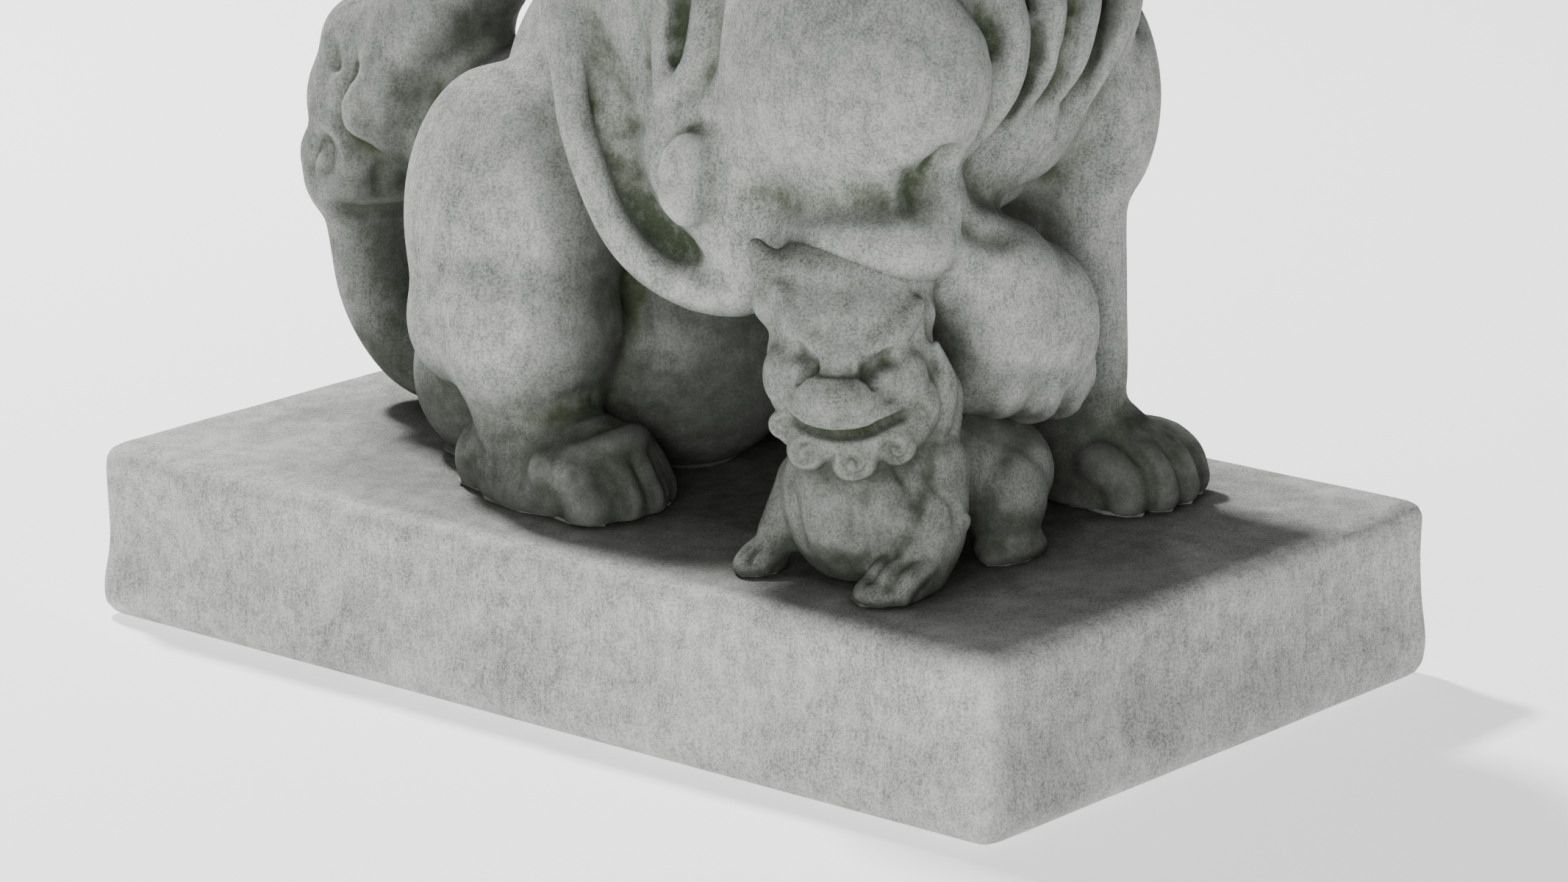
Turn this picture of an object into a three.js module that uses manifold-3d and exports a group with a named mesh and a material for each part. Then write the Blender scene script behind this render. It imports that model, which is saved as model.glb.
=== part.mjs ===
// A cast-stone foo dog (guardian lioness with her cub) on a rectangular plinth.
//
// Millimetres, +Z up. The origin is the centre of the plinth's underside. The lioness faces -Y, her
// right side is -X, and the cub stands under her raised right paw and faces -X.
//
// The figure is cast in sections, parted where the body already has a crease, joined by steel dowels
// in drilled holes and kept a thin resin joint apart. What touches the plinth is bedded on mortar.

import * as THREE from "three";
import { mergeVertices } from "three/addons/utils/BufferGeometryUtils.js";
import Module from "manifold-3d";

const wasm = await Module();
wasm.setup();

// ---------------------------------------------------------------- driving dimensions, in millimetres

const lionHeight = 900; // plinth top to the crown of the head
const plinthHeight = 150;
const plinthEdgeRound = 16; // the soft arris round the plinth's top
const plinthCornerRound = 15; // the upright corners
const plinthRim = { side: 69, front: 136, back: 18 }; // stone left round the figure's footprint
const bedThickness = 3; // mortar under what stands on the plinth
const bedSpread = 1.07; // the mortar pressed out round a sole, as a share of the sole
const jointGap = 0.3; // between two pieces that touch
const dowelRadius = 8;
const dowelBite = 52; // how far a dowel goes into each of the two pieces it joins
const cubDowelRadius = 5;
const cubDowelBite = 36;
const dowelClearance = 0.3; // resin round a dowel
const dowelEndGap = 2; // left past a dowel's end in its blind hole
const dowelSides = 12;

// The figure's own canon: every mass of the lion and the cub is set out on a lion 900 units high, so
// one unit is one millimetre at the height above. The canon's z starts at the plinth's top.
const CANON_HEIGHT = 900;
const unit = lionHeight / CANON_HEIGHT;
const footprint = { side: 221, front: 342, back: 460 }; // canon units, out from the canon's axes

const plinthWidth = 2 * (footprint.side * unit + plinthRim.side);
const plinthFront = footprint.front * unit + plinthRim.front;
const plinthBack = footprint.back * unit + plinthRim.back;
const plinthLength = plinthFront + plinthBack;
const figureShift = (plinthFront - plinthBack) / 2; // keeps the plinth centred on the origin

// The joints, in canon units.
const neckJoint = { height: 478, back: 190 }; // under the head and its mane
const tailJoint = { back: 342, height: 296 }; // behind the rump and over it
const haunchJoint = { inside: 96, front: 24, top: 322 };
const forelegJoint = { inside: 104, back: 24, low: 150 };
const footTop = 100; // what is lower than this in front of a haunch is its foot

// ------------------------------------------------------------------------------------- small tools

/** A closed three.js geometry as a manifold-3d solid. */
function solidOf(geometry) {
  geometry.deleteAttribute("normal");
  geometry.deleteAttribute("uv");
  const merged = mergeVertices(geometry, 1e-4);
  return new wasm.Manifold(
    new wasm.Mesh({
      numProp: 3,
      vertProperties: new Float32Array(merged.attributes.position.array),
      triVerts: new Uint32Array(merged.index.array),
    }),
  );
}

/** A manifold-3d solid as a named three.js mesh. */
function meshOf(name, solid, material) {
  const { vertProperties, triVerts } = solid.getMesh();
  const geometry = new THREE.BufferGeometry();
  geometry.setAttribute("position", new THREE.BufferAttribute(vertProperties, 3));
  geometry.setIndex(new THREE.BufferAttribute(triVerts, 1));
  geometry.computeVertexNormals();
  const mesh = new THREE.Mesh(geometry, material);
  mesh.name = name;
  return mesh;
}

/** The largest body of a solid, filled: no crumbs beside it and no pockets inside it. */
const oneBody = (solid) =>
  solid.decompose().reduce((most, next) => (next.volume() > most.volume() ? next : most));

const joined = (solids) => solids.reduce((sum, next) => sum.add(next));

/** Canon units, measured from the plinth's top, to the part's own frame. */
const fromCanon = new THREE.Matrix4()
  .makeTranslation(0, figureShift, plinthHeight)
  .multiply(new THREE.Matrix4().makeScale(unit, unit, unit));

const canonPoint = (at) => new THREE.Vector3(...at).applyMatrix4(fromCanon);

/** One rounded mass of clay: an ellipsoid from its centre, half sizes and turn about X in degrees. */
function mass(centre, halfSizes, { turn = 0, facets = 10 } = {}) {
  return (grown = 1) => {
    const place = new THREE.Matrix4().compose(
      new THREE.Vector3(...centre),
      new THREE.Quaternion().setFromEuler(new THREE.Euler(THREE.MathUtils.degToRad(turn), 0, 0)),
      new THREE.Vector3(...halfSizes).multiplyScalar(grown),
    );
    const ball = new THREE.SphereGeometry(1, facets, Math.round(facets * 0.6));
    ball.rotateX(Math.PI / 2);
    return solidOf(ball.applyMatrix4(place).applyMatrix4(fromCanon));
  };
}

/** A tapered limb with round ends, from one point to another. */
function limb(from, to, fromRadius, toRadius) {
  return (grown = 1) => {
    const start = new THREE.Vector3(...from);
    const along = new THREE.Vector3(...to).sub(start);
    const length = along.length();
    const steps = 2; // in each round end
    const profile = [];
    for (let i = 0; i <= 2 * steps + 1; i++) {
      const upper = i > steps;
      const angle = (Math.PI / 2) * ((upper ? i - 1 : i) / steps - 1);
      const radius = (upper ? toRadius : fromRadius) * grown;
      const rise = (upper ? length : 0) + Math.sin(angle) * radius;
      const onAxis = i === 0 || i === 2 * steps + 1;
      profile.push(new THREE.Vector2(onAxis ? 0 : Math.cos(angle) * radius, rise));
    }
    const place = new THREE.Matrix4().compose(
      start,
      new THREE.Quaternion().setFromUnitVectors(new THREE.Vector3(0, 1, 0), along.normalize()),
      new THREE.Vector3(1, 1, 1),
    );
    const turned = new THREE.LatheGeometry(profile, 10);
    return solidOf(turned.applyMatrix4(place).applyMatrix4(fromCanon));
  };
}

const clayOf = (masses, grown = 1) => joined(masses.map((one) => one(grown)));

/** A box between two corners in canon units, kept `inset` millimetres inside them. */
function block(low, high, inset = 0) {
  const reach = 3 * CANON_HEIGHT;
  const a = canonPoint(low.map((v) => Math.max(v, -reach))).addScalar(inset);
  const b = canonPoint(high.map((v) => Math.min(v, reach))).addScalar(-inset);
  const size = b.clone().sub(a);
  const box = new THREE.BoxGeometry(size.x, size.y, size.z);
  const middle = a.add(b).multiplyScalar(0.5);
  return solidOf(box.translate(middle.x, middle.y, middle.z));
}

// ----------------------------------------------------------------------------- the clay, by region
// Mirrored pairs take a side: -1 is the lion's right, 1 is her left.

const sides = { right: -1, left: 1 };
const far = Infinity;
const round = { facets: 15 }; // the big masses
const small = { facets: 8 }; // toes and the like

const belly = mass([0, 76, 111], [108, 108, 112], round);
const rumpLobe = (s) => mass([s * 90, 214, 70], [64, 62, 78]);

/** Belly, rump, pelvis, ribs, breast, withers and neck. */
const trunkMasses = [
  belly,
  rumpLobe(sides.right),
  rumpLobe(sides.left),
  mass([0, 252, 104], [76, 88, 94]),
  mass([0, 200, 190], [150, 130, 150], round),
  mass([0, 60, 300], [150, 165, 160], round),
  mass([0, -165, 378], [152, 150, 148], round),
  mass([0, -25, 420], [135, 150, 130], round),
  mass([0, -150, 500], [150, 140, 130], round),
];

/** A hind foot: its pad, four toes and the heel. */
const hindFoot = (s) => [
  mass([s * 164, 62, 22], [56, 88, 42]),
  mass([s * 202, 10, 20], [17, 33, 32], small),
  mass([s * 175, 5, 20], [17, 33, 32], small),
  mass([s * 149, 5, 20], [17, 33, 32], small),
  mass([s * 124, 10, 20], [17, 33, 32], small),
  mass([s * 158, 132, 24], [40, 46, 38]),
];

/** A haunch: thigh, knee and shin. */
const haunch = (s) => [
  mass([s * 140, 138, 203], [70, 100, 140], { turn: -6, ...round }),
  limb([s * 150, 104, 132], [s * 160, 96, 52], 76, 52),
];

/** The standing left foreleg: elbow, leg and foot, without its shoulder. */
const foreFoot = [
  mass([137, -268, 20], [58, 62, 40]),
  mass([96, -300, 18], [17, 33, 32], small),
  mass([123, -309, 18], [17, 33, 32], small),
  mass([151, -308, 18], [17, 33, 32], small),
  mass([179, -298, 18], [17, 33, 32], small),
];
const leftLeg = [
  mass([124, -182, 226], [50, 64, 62]),
  limb([120, -226, 250], [118, -240, 50], 52, 46),
  ...foreFoot,
];
const leftShoulder = mass([136, -200, 325], [70, 100, 125], round);

/** The raised right foreleg: elbow, forearm, wrist and paw, without its shoulder. */
const rightArm = [
  limb([-150, -128, 248], [-98, -258, 238], 54, 54),
  limb([-98, -258, 238], [-42, -282, 212], 54, 54),
  mass([-6, -286, 168], [62, 58, 78], round),
  mass([-44, -324, 124], [19, 21, 32], small),
  mass([-16, -330, 122], [19, 21, 32], small),
  mass([14, -324, 124], [19, 21, 32], small),
];
const rightElbow = mass([-150, -100, 312], [58, 126, 132], round);
const rightScapula = mass([-128, -32, 424], [70, 105, 112], round);
const rightShoulder = mass([-140, -215, 395], [78, 130, 112], round);

/** The tail's stem and curls, behind the rump, and the plume that leans on the back. */
const tailRoot = limb([-6, 330, 30], [-18, 384, 52], 34, 32);
const tailCurls = [
  tailRoot,
  limb([-18, 384, 52], [-26, 412, 130], 32, 34),
  mass([-24, 410, 196], [70, 55, 62]),
  mass([-26, 394, 272], [67, 55, 62]),
];
const tailPlume = [
  mass([-10, 322, 334], [56, 52, 60]),
  mass([-4, 294, 410], [46, 44, 72]),
  mass([0, 262, 492], [34, 34, 70]),
];

/** Skull, crown, nose, jaw, beard and mane, then the paired brows, eyes, lips, cheeks and ears. */
const headMasses = [
  mass([0, -215, 705], [138, 134, 132], round),
  mass([0, -180, 826], [94, 90, 60]),
  mass([0, -176, 870], [42, 42, 30], small),
  mass([0, -290, 650], [134, 94, 94], round),
  mass([0, -350, 706], [34, 46, 46], small),
  mass([0, -392, 676], [52, 36, 33], small),
  mass([0, -330, 584], [90, 74, 38]),
  mass([0, -336, 542], [62, 48, 46], small),
  mass([0, -150, 620], [188, 126, 170], round),
  mass([0, -84, 600], [152, 110, 186], round),
  ...Object.values(sides).flatMap((s) => [
    mass([s * 64, -334, 756], [66, 48, 30], small),
    mass([s * 58, -352, 716], [31, 30, 29], small),
    mass([s * 46, -354, 636], [60, 58, 45]),
    mass([s * 150, -190, 770], [30, 44, 52], small),
  ]),
];

const cubFoot = {
  right_fore: mass([-216, -192, 12], [30, 19, 18], small),
  left_fore: mass([-214, -314, 13], [34, 24, 22], small),
  right_hind: mass([-62, -222, 14], [40, 20, 22], small),
  left_hind: mass([-62, -320, 14], [40, 20, 22], small),
};
const cubBelly = mass([-160, -261, 64], [64, 76, 66]);

/** The cub: barrel, rump, legs, neck, head, muzzle and beard. */
const cubMasses = [
  cubBelly,
  mass([-95, -268, 78], [84, 54, 48]),
  mass([-36, -272, 56], [54, 58, 50]),
  limb([-180, -208, 60], [-206, -196, 24], 30, 20),
  limb([-152, -318, 72], [-190, -320, 30], 38, 28),
  mass([-60, -310, 46], [40, 30, 42], small),
  mass([-60, -230, 46], [40, 30, 42], small),
  mass([-140, -268, 126], [56, 62, 62]),
  mass([-182, -260, 176], [60, 74, 78], round),
  mass([-220, -286, 156], [28, 44, 26], small),
  mass([-214, -284, 122], [30, 46, 26], small),
  ...Object.values(cubFoot),
];

// ------------------------------------------------------------------------------ dowels and drillings

/** Every dowel: where it crosses its joint, in canon units, and the axis it lies on. */
const dowels = {
  belly_dowel: { at: [0, 76, 0], axis: "z" },
  right_hind_foot_dowel: { at: [-160, 96, 0], axis: "z" },
  left_hind_foot_dowel: { at: [160, 96, 0], axis: "z" },
  left_fore_foot_dowel: { at: [122, -246, 0], axis: "z" },
  right_hip_dowel: { at: [-haunchJoint.inside, 140, 200], axis: "x" },
  left_hip_dowel: { at: [haunchJoint.inside, 140, 200], axis: "x" },
  right_shoulder_dowel: { at: [-forelegJoint.inside, -215, 400], axis: "x" },
  right_elbow_dowel: { at: [-forelegJoint.inside, -70, 330], axis: "x" },
  left_shoulder_dowel: { at: [forelegJoint.inside, -190, 350], axis: "x" },
  right_neck_dowel: { at: [-70, -150, neckJoint.height], axis: "z" },
  left_neck_dowel: { at: [70, -150, neckJoint.height], axis: "z" },
};

const smallDowels = {
  tail_dowel: { at: [0, tailJoint.back, 236], axis: "y" },
  cub_chest_dowel: { at: [-160, -260, 0], axis: "z" },
};

/** A bar on a dowel's axis, centred on its joint. */
function bar({ at, axis }, radius, length) {
  const cylinder = new THREE.CylinderGeometry(radius, radius, length, dowelSides);
  if (axis === "x") cylinder.rotateZ(Math.PI / 2);
  if (axis === "z") cylinder.rotateX(Math.PI / 2);
  const middle = canonPoint(at);
  return solidOf(cylinder.translate(middle.x, middle.y, middle.z));
}

const dowelBars = [
  ...Object.entries(dowels).map(([name, place]) => ({ name, place, radius: dowelRadius, bite: dowelBite })),
  ...Object.entries(smallDowels).map(([name, place]) => ({
    name,
    place,
    radius: cubDowelRadius,
    bite: cubDowelBite,
  })),
];

const drillings = joined(
  dowelBars.map(({ place, radius, bite }) => bar(place, radius + dowelClearance, 2 * (bite + dowelEndGap))),
);

// --------------------------------------------------------------------------- plinth and mortar beds

/** A rectangle with round corners, centred on the origin. */
function roundedRectangle(width, length, radius) {
  const w = width / 2;
  const l = length / 2;
  return new THREE.Shape()
    .moveTo(w - radius, -l)
    .absarc(w - radius, radius - l, radius, -Math.PI / 2, 0)
    .absarc(w - radius, l - radius, radius, 0, Math.PI / 2)
    .absarc(radius - w, l - radius, radius, Math.PI / 2, Math.PI)
    .absarc(radius - w, radius - l, radius, Math.PI, 1.5 * Math.PI);
}

/** The slab: straight sides, a flat underside and a softly rounded top edge. */
function plinthSolid() {
  const inset = plinthEdgeRound;
  const outline = roundedRectangle(
    plinthWidth - 2 * inset,
    plinthLength - 2 * inset,
    plinthCornerRound / 2,
  );
  const slab = new THREE.ExtrudeGeometry(outline, {
    depth: plinthHeight,
    bevelThickness: inset,
    bevelSize: inset,
    bevelSegments: 3,
    curveSegments: 3,
  });
  const ground = new THREE.BoxGeometry(2 * plinthWidth, 2 * plinthLength, 2 * plinthHeight);
  return solidOf(slab.translate(0, 0, -inset)).subtract(solidOf(ground.translate(0, 0, -plinthHeight)));
}

const bedLow = jointGap / unit;
const bedHigh = bedLow + bedThickness / unit;
const soleHeight = bedHigh + jointGap / unit;
const bedLayer = block([-far, -far, bedLow], [far, far, bedHigh]);

/** The mortar under some masses: their own outline at the plinth, pressed out a little. */
const bedUnder = (masses) => clayOf(masses, bedSpread).intersect(bedLayer).subtract(drillings);

const beds = {
  belly_bed: [belly],
  right_rump_bed: [rumpLobe(sides.right)],
  left_rump_bed: [rumpLobe(sides.left)],
  right_hind_foot_bed: hindFoot(sides.right),
  left_hind_foot_bed: hindFoot(sides.left),
  left_fore_foot_bed: foreFoot,
  tail_bed: [tailRoot],
  cub_chest_bed: [cubBelly],
  cub_right_fore_foot_bed: [cubFoot.right_fore],
  cub_left_fore_foot_bed: [cubFoot.left_fore],
  cub_right_hind_foot_bed: [cubFoot.right_hind],
  cub_left_hind_foot_bed: [cubFoot.left_hind],
};

// -------------------------------------------------------------------------------------- the sections

const aboveBeds = block([-far, -far, soleHeight], [far, far, far]);
const grown = 1.006; // a neighbour's masses, let out by a joint's width

const lionClay = oneBody(clayOf([
  ...trunkMasses,
  ...Object.values(sides).flatMap((s) => [...haunch(s), ...hindFoot(s)]),
  leftShoulder,
  ...leftLeg,
  rightShoulder,
  rightScapula,
  rightElbow,
  ...rightArm,
  ...tailCurls,
  ...tailPlume,
  ...headMasses,
])).intersect(aboveBeds);

const mirrored = (s, low, high) => (s < 0 ? [low, high] : [[-high[0], low[1], low[2]], [-low[0], high[1], high[2]]]);

/** A section takes the clay inside its cell, and its own masses where they are free of the cell. */
const sections = {
  head: { cell: [[-far, -far, neckJoint.height], [far, neckJoint.back, far]], own: [] },
  tail: {
    cell: [[-far, tailJoint.back, -far], [far, far, far]],
    own: tailPlume,
    ownBox: [[-far, -far, tailJoint.height], [far, far, far]],
  },
};
for (const [name, s] of Object.entries(sides)) {
  sections[`${name}_haunch`] = {
    cell: mirrored(
      s,
      [-far, haunchJoint.front, -far],
      [-haunchJoint.inside, tailJoint.back, haunchJoint.top],
    ),
    own: hindFoot(s),
    ownBox: [[-far, -far, -far], [far, haunchJoint.front + 60, footTop]],
  };
  sections[`${name}_foreleg`] = {
    cell: mirrored(
      s,
      [-far, -far, forelegJoint.low],
      [-forelegJoint.inside, forelegJoint.back, neckJoint.height],
    ),
    own: s < 0 ? rightArm : leftLeg,
    ownBox: [[-far, -far, -far], [far, far, forelegJoint.low + 170]],
  };
}

const group = new THREE.Group();
group.name = "foo_dog_statue";

const castStone = (name, color) => new THREE.MeshStandardMaterial({ name, color, roughness: 0.85 });
const addPart = (name, solid, material) => group.add(meshOf(name, solid, material));

addPart("plinth", plinthSolid().subtract(drillings), castStone("plinth_cast_stone", 0xa3a7a2));

let trunk = lionClay;
for (const { cell, own, ownBox } of Object.values(sections)) {
  trunk = trunk.subtract(block(...cell));
  if (own.length > 0) {
    trunk = trunk.subtract(clayOf(own, grown).intersect(block(...ownBox, -jointGap)));
  }
}
addPart("trunk", oneBody(trunk.subtract(drillings)), castStone("trunk_cast_stone", 0x9a9f99));

for (const [name, { cell, own, ownBox }] of Object.entries(sections)) {
  let solid = lionClay.intersect(block(...cell, jointGap));
  if (own.length > 0) {
    solid = solid.add(clayOf(own).intersect(block(...ownBox)).intersect(aboveBeds));
  }
  for (const [other, { cell: otherCell, own: otherOwn, ownBox: otherBox }] of Object.entries(sections)) {
    if (other === name) continue;
    if (own.length > 0) solid = solid.subtract(block(...otherCell));
    if (otherOwn.length > 0 && other > name) {
      solid = solid.subtract(clayOf(otherOwn, grown).intersect(block(...otherBox, -jointGap)));
    }
  }
  addPart(name, oneBody(solid.subtract(drillings)), castStone(`${name}_cast_stone`, 0x9a9f99));
}

const cub = clayOf(cubMasses)
  .intersect(aboveBeds)
  .subtract(clayOf([...rightArm, rightElbow, rightShoulder, ...leftLeg], grown))
  .subtract(drillings);
addPart("cub", cub, castStone("cub_cast_stone", 0x9ca19b));

for (const [name, masses] of Object.entries(beds)) {
  const mortar = new THREE.MeshStandardMaterial({ name: `${name}_mortar`, color: 0xb9bbb4, roughness: 0.95 });
  addPart(name, bedUnder(masses), mortar);
}

for (const { name, place, radius, bite } of dowelBars) {
  const steel = new THREE.MeshStandardMaterial({
    name: `${name}_steel`,
    color: 0x8d9194,
    roughness: 0.45,
    metalness: 1,
  });
  addPart(name, bar(place, radius, 2 * bite), steel);
}

export default group;
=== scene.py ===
"""Looks for a cast-stone foo dog: a seated guardian lioness with her cub on a rectangular plinth.

Places and sizes below are millimetres from the datum, which is the centre of the plinth's top: X is the
lioness's left, -Y is the way she faces, and Z is up. Clay turns them into the frame's metres.
"""

import logging
import math
from collections.abc import Sequence
from dataclasses import dataclass
from enum import Enum
from typing import Protocol

import bpy
import numpy as np
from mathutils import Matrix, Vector
from mathutils.bvhtree import BVHTree


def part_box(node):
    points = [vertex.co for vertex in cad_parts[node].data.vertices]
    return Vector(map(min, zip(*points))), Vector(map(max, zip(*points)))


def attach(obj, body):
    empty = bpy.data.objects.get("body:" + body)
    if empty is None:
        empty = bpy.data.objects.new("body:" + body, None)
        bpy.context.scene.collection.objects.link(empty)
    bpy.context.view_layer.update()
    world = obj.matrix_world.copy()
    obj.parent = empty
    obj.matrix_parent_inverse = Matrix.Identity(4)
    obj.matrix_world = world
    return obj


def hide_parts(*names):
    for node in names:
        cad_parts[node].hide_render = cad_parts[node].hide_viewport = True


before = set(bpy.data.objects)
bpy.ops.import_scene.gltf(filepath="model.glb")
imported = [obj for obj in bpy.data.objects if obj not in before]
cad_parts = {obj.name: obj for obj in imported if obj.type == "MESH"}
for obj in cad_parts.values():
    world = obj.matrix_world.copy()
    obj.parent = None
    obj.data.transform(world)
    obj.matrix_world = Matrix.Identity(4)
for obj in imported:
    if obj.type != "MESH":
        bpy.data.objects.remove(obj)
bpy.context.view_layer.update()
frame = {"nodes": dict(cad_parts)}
LOG = logging.getLogger("foo_dog")
MM = 0.001
PLINTH_LOW, PLINTH_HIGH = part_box("plinth")
DATUM = Vector((0.0, 0.0, PLINTH_HIGH.z))

# how lines are laid: points a turn and how far a spiral shrinks, the reach of a stroke in its widths,
# and how quickly a stroke comes up to depth from what is left of it at its ends
SPIRAL_POINTS_A_TURN = 10
SPIRAL_SHRINK = 0.88
STROKE_REACH = 2.6
TAPER_RATE = 5
TAPER_LEFT = 0.15
SNAIL_SWELL = (0.36, 0.42, 0.40, 0.32)
LOCK_SWELL = (0.8, 1, 0.95, 0.75, 0.35)
BALL_SEGMENTS, BALL_RINGS = 28, 18

# painted shade: the way to the key lamp behind her, what a direction away from it still counts for, the
# flattest angle that counts, how far off the skin a test starts, and how wide fine and broad hollows are
KEY_LAMP_WAY = (0.16, 0.76, 0.63)
OFF_KEY_WORTH = 0.2
GRAZING = 0.1
OFF_SKIN = 0.003
FINE_PASSES, BROAD_PASSES = 10, 70

Point = tuple[float, float, float]
Path = Sequence[Point]
Colour = tuple[float, float, float, float]

# painted shade: the first colour darkens stone where neighbours or the key lamp's shadow block light, and
# on low, rear and high places; the olive and the black are growth with painted shade in hollows; the
# rubbed grey is wear on ridges
PAINTED_SHADE_COLOUR: Colour = (0.034, 0.038, 0.028, 1)
OLIVE_FILM_AND_SHADE: Colour = (0.085, 0.098, 0.064, 1)
BLACK_GROWTH_AND_SHADE: Colour = (0.022, 0.034, 0.012, 1)
RUBBED_STONE: Colour = (0.50, 0.52, 0.50, 1)


# ------------------------------------------------------------------------------------ hand tools


def only(*objects: bpy.types.Object) -> None:
    """Leaves object mode with these objects selected and the last of them active.

    Args:
        objects: what to select; with none, nothing stays selected.
    """
    if bpy.context.object and bpy.context.object.mode != "OBJECT":
        bpy.ops.object.mode_set(mode="OBJECT")
    bpy.ops.object.select_all(action="DESELECT")
    for one in objects:
        one.select_set(True)
    if objects:
        bpy.context.view_layer.objects.active = objects[-1]


def apply_modifier(piece: bpy.types.Object, kind: str, **settings: object) -> None:
    """Adds one modifier to a piece, sets it and applies it.

    Args:
        piece: the mesh object.
        kind: the modifier's type, such as "REMESH".
        settings: the modifier's own values, by name.
    """
    only(piece)
    modifier = piece.modifiers.new(kind.title(), kind)
    for key, value in settings.items():
        setattr(modifier, key, value)
    bpy.ops.object.modifier_apply(modifier=modifier.name)


def to_frame(points: np.ndarray) -> np.ndarray:
    """Millimetres from the datum to metres in the frame."""
    return np.asarray(points, float) * MM + np.array(DATUM)


def smooth_path(points: Path, steps: int = 8) -> np.ndarray:
    """A Catmull-Rom line through some points.

    Args:
        points: two or more points.
        steps: how many short lines each stretch becomes.

    Returns:
        The points of the line, one a row.
    """
    given = np.asarray(points, float)
    padded = np.vstack([2 * given[0] - given[1], given, 2 * given[-1] - given[-2]])
    line = []
    for i in range(len(given) - 1):
        a, b, c, d = padded[i : i + 4]
        for t in np.linspace(0, 1, steps, endpoint=False):
            square = (2 * a - 5 * b + 4 * c - d) * t**2
            cube = (3 * b - a - 3 * c + d) * t**3
            line.append(0.5 * (2 * b + (c - a) * t + square + cube))
    line.append(given[-1])
    return np.array(line)


class Curl(Enum):
    """Which way a snail curl winds, as its viewer sees it."""

    CLOCKWISE = 1
    COUNTER = -1


def spiral(
    centre: Point,
    facing: Point,
    radius: float,
    turns: float,
    start: float,
    curl: Curl,
    rise: float,
) -> Path:
    """A flat snail line that winds in to its centre and rises towards whoever faces it.

    Args:
        centre: the snail's eye.
        facing: the way that its open face looks.
        radius: of the outermost turn.
        turns: how many turns it makes.
        start: degrees at which the outer end lies, counted from straight up.
        curl: which way it winds in, as seen from the front.
        rise: how far the eye stands proud, as a share of the radius.

    Returns:
        Points from the outer end to the eye.
    """
    normal = Vector(facing).normalized()
    up = (Vector((0, 0, 1)) - normal * normal.z).normalized()
    across = up.cross(normal) * -curl.value
    count = max(6, round(turns * SPIRAL_POINTS_A_TURN))
    line = []
    for i in range(count + 1):
        t = i / count
        angle = math.radians(start) + t * turns * math.tau
        reach = radius * (1 - SPIRAL_SHRINK * t)
        place = Vector(centre) + (up * math.cos(angle) + across * math.sin(angle)) * reach
        line.append(tuple(place + normal * radius * rise * t))
    return line


class Clay:
    """Clay built up from balls and rolls, then pressed into one skin."""

    def __init__(self, name: str) -> None:
        """Starts an empty board.

        Args:
            name: what the pressed skin is called.
        """
        self.name = name
        self.lumps: list[bpy.types.Object] = []
        self.rolls: list[tuple[np.ndarray, np.ndarray]] = []

    def ball(self, centre: Point, half: Point, turn: Point = (0, 0, 0)) -> None:
        """Adds an egg of clay.

        Args:
            centre: its middle.
            half: its half sizes along its own axes.
            turn: degrees about X, Y and Z.
        """
        only()
        bpy.ops.mesh.primitive_uv_sphere_add(
            segments=BALL_SEGMENTS,
            ring_count=BALL_RINGS,
            radius=1,
            location=to_frame(centre),
            rotation=[math.radians(a) for a in turn],
            scale=[h * MM for h in half],
        )
        self.lumps.append(bpy.context.object)

    def pair(self, centre: Point, half: Point, turn: Point = (0, 0, 0)) -> None:
        """Adds an egg on her left and its mirror image on her right."""
        self.ball(centre, half, turn)
        self.ball((-centre[0], centre[1], centre[2]), half, (turn[0], -turn[1], -turn[2]))

    def roll(self, path: Path, radii: Sequence[float], steps: int = 6) -> None:
        """Adds a rope of clay.

        Args:
            path: the points it passes through.
            radii: its radius at each of them, or at evenly spaced places along it.
            steps: how finely each stretch is bent.
        """
        line = smooth_path(path, steps)
        spots = np.linspace(0, 1, len(radii))
        self.rolls.append((line, np.interp(np.linspace(0, 1, len(line)), spots, radii)))

    def take(self, piece: bpy.types.Object) -> None:
        """Puts an earlier skin back on the board."""
        self.lumps.append(piece)

    def _roll_meshes(self) -> list[bpy.types.Object]:
        """Turns the ropes into one tube mesh with a ball at each end.

        Returns:
            That mesh, or nothing if there are no ropes.
        """
        if not self.rolls:
            return []
        curve = bpy.data.curves.new(f"{self.name}_rolls", "CURVE")
        curve.dimensions = "3D"
        curve.bevel_depth = MM
        curve.bevel_resolution = 3
        curve.use_fill_caps = True
        for line, radii in self.rolls:
            spline = curve.splines.new("POLY")
            spline.points.add(len(line) - 1)
            places = np.column_stack([to_frame(line), np.ones(len(line))])
            spline.points.foreach_set("co", places.ravel())
            spline.points.foreach_set("radius", radii)
        ropes = bpy.data.objects.new(f"{self.name}_rolls", curve)
        bpy.context.scene.collection.objects.link(ropes)
        only(ropes)
        bpy.ops.object.convert(target="MESH")
        made = [bpy.context.object]
        for end in (0, -1):
            for line, radii in self.rolls:
                self.ball(tuple(line[end]), (radii[end],) * 3)
        return made

    def press(self, grain: float, softness: int) -> bpy.types.Object:
        """Fuses everything on the board into one closed skin.

        Args:
            grain: the size of the skin's facets.
            softness: how many times a thumb goes over it.

        Returns:
            The skin, with its place in its mesh.
        """
        self.lumps += self._roll_meshes()
        only(*self.lumps)
        bpy.ops.object.join()
        skin = bpy.context.object
        bpy.ops.object.transform_apply(location=True, rotation=True, scale=True)
        skin.name = skin.data.name = self.name
        apply_modifier(skin, "REMESH", mode="VOXEL", voxel_size=grain * MM)
        if softness:
            apply_modifier(skin, "SMOOTH", factor=0.5, iterations=softness)
        self.lumps, self.rolls = [], []
        return skin


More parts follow.
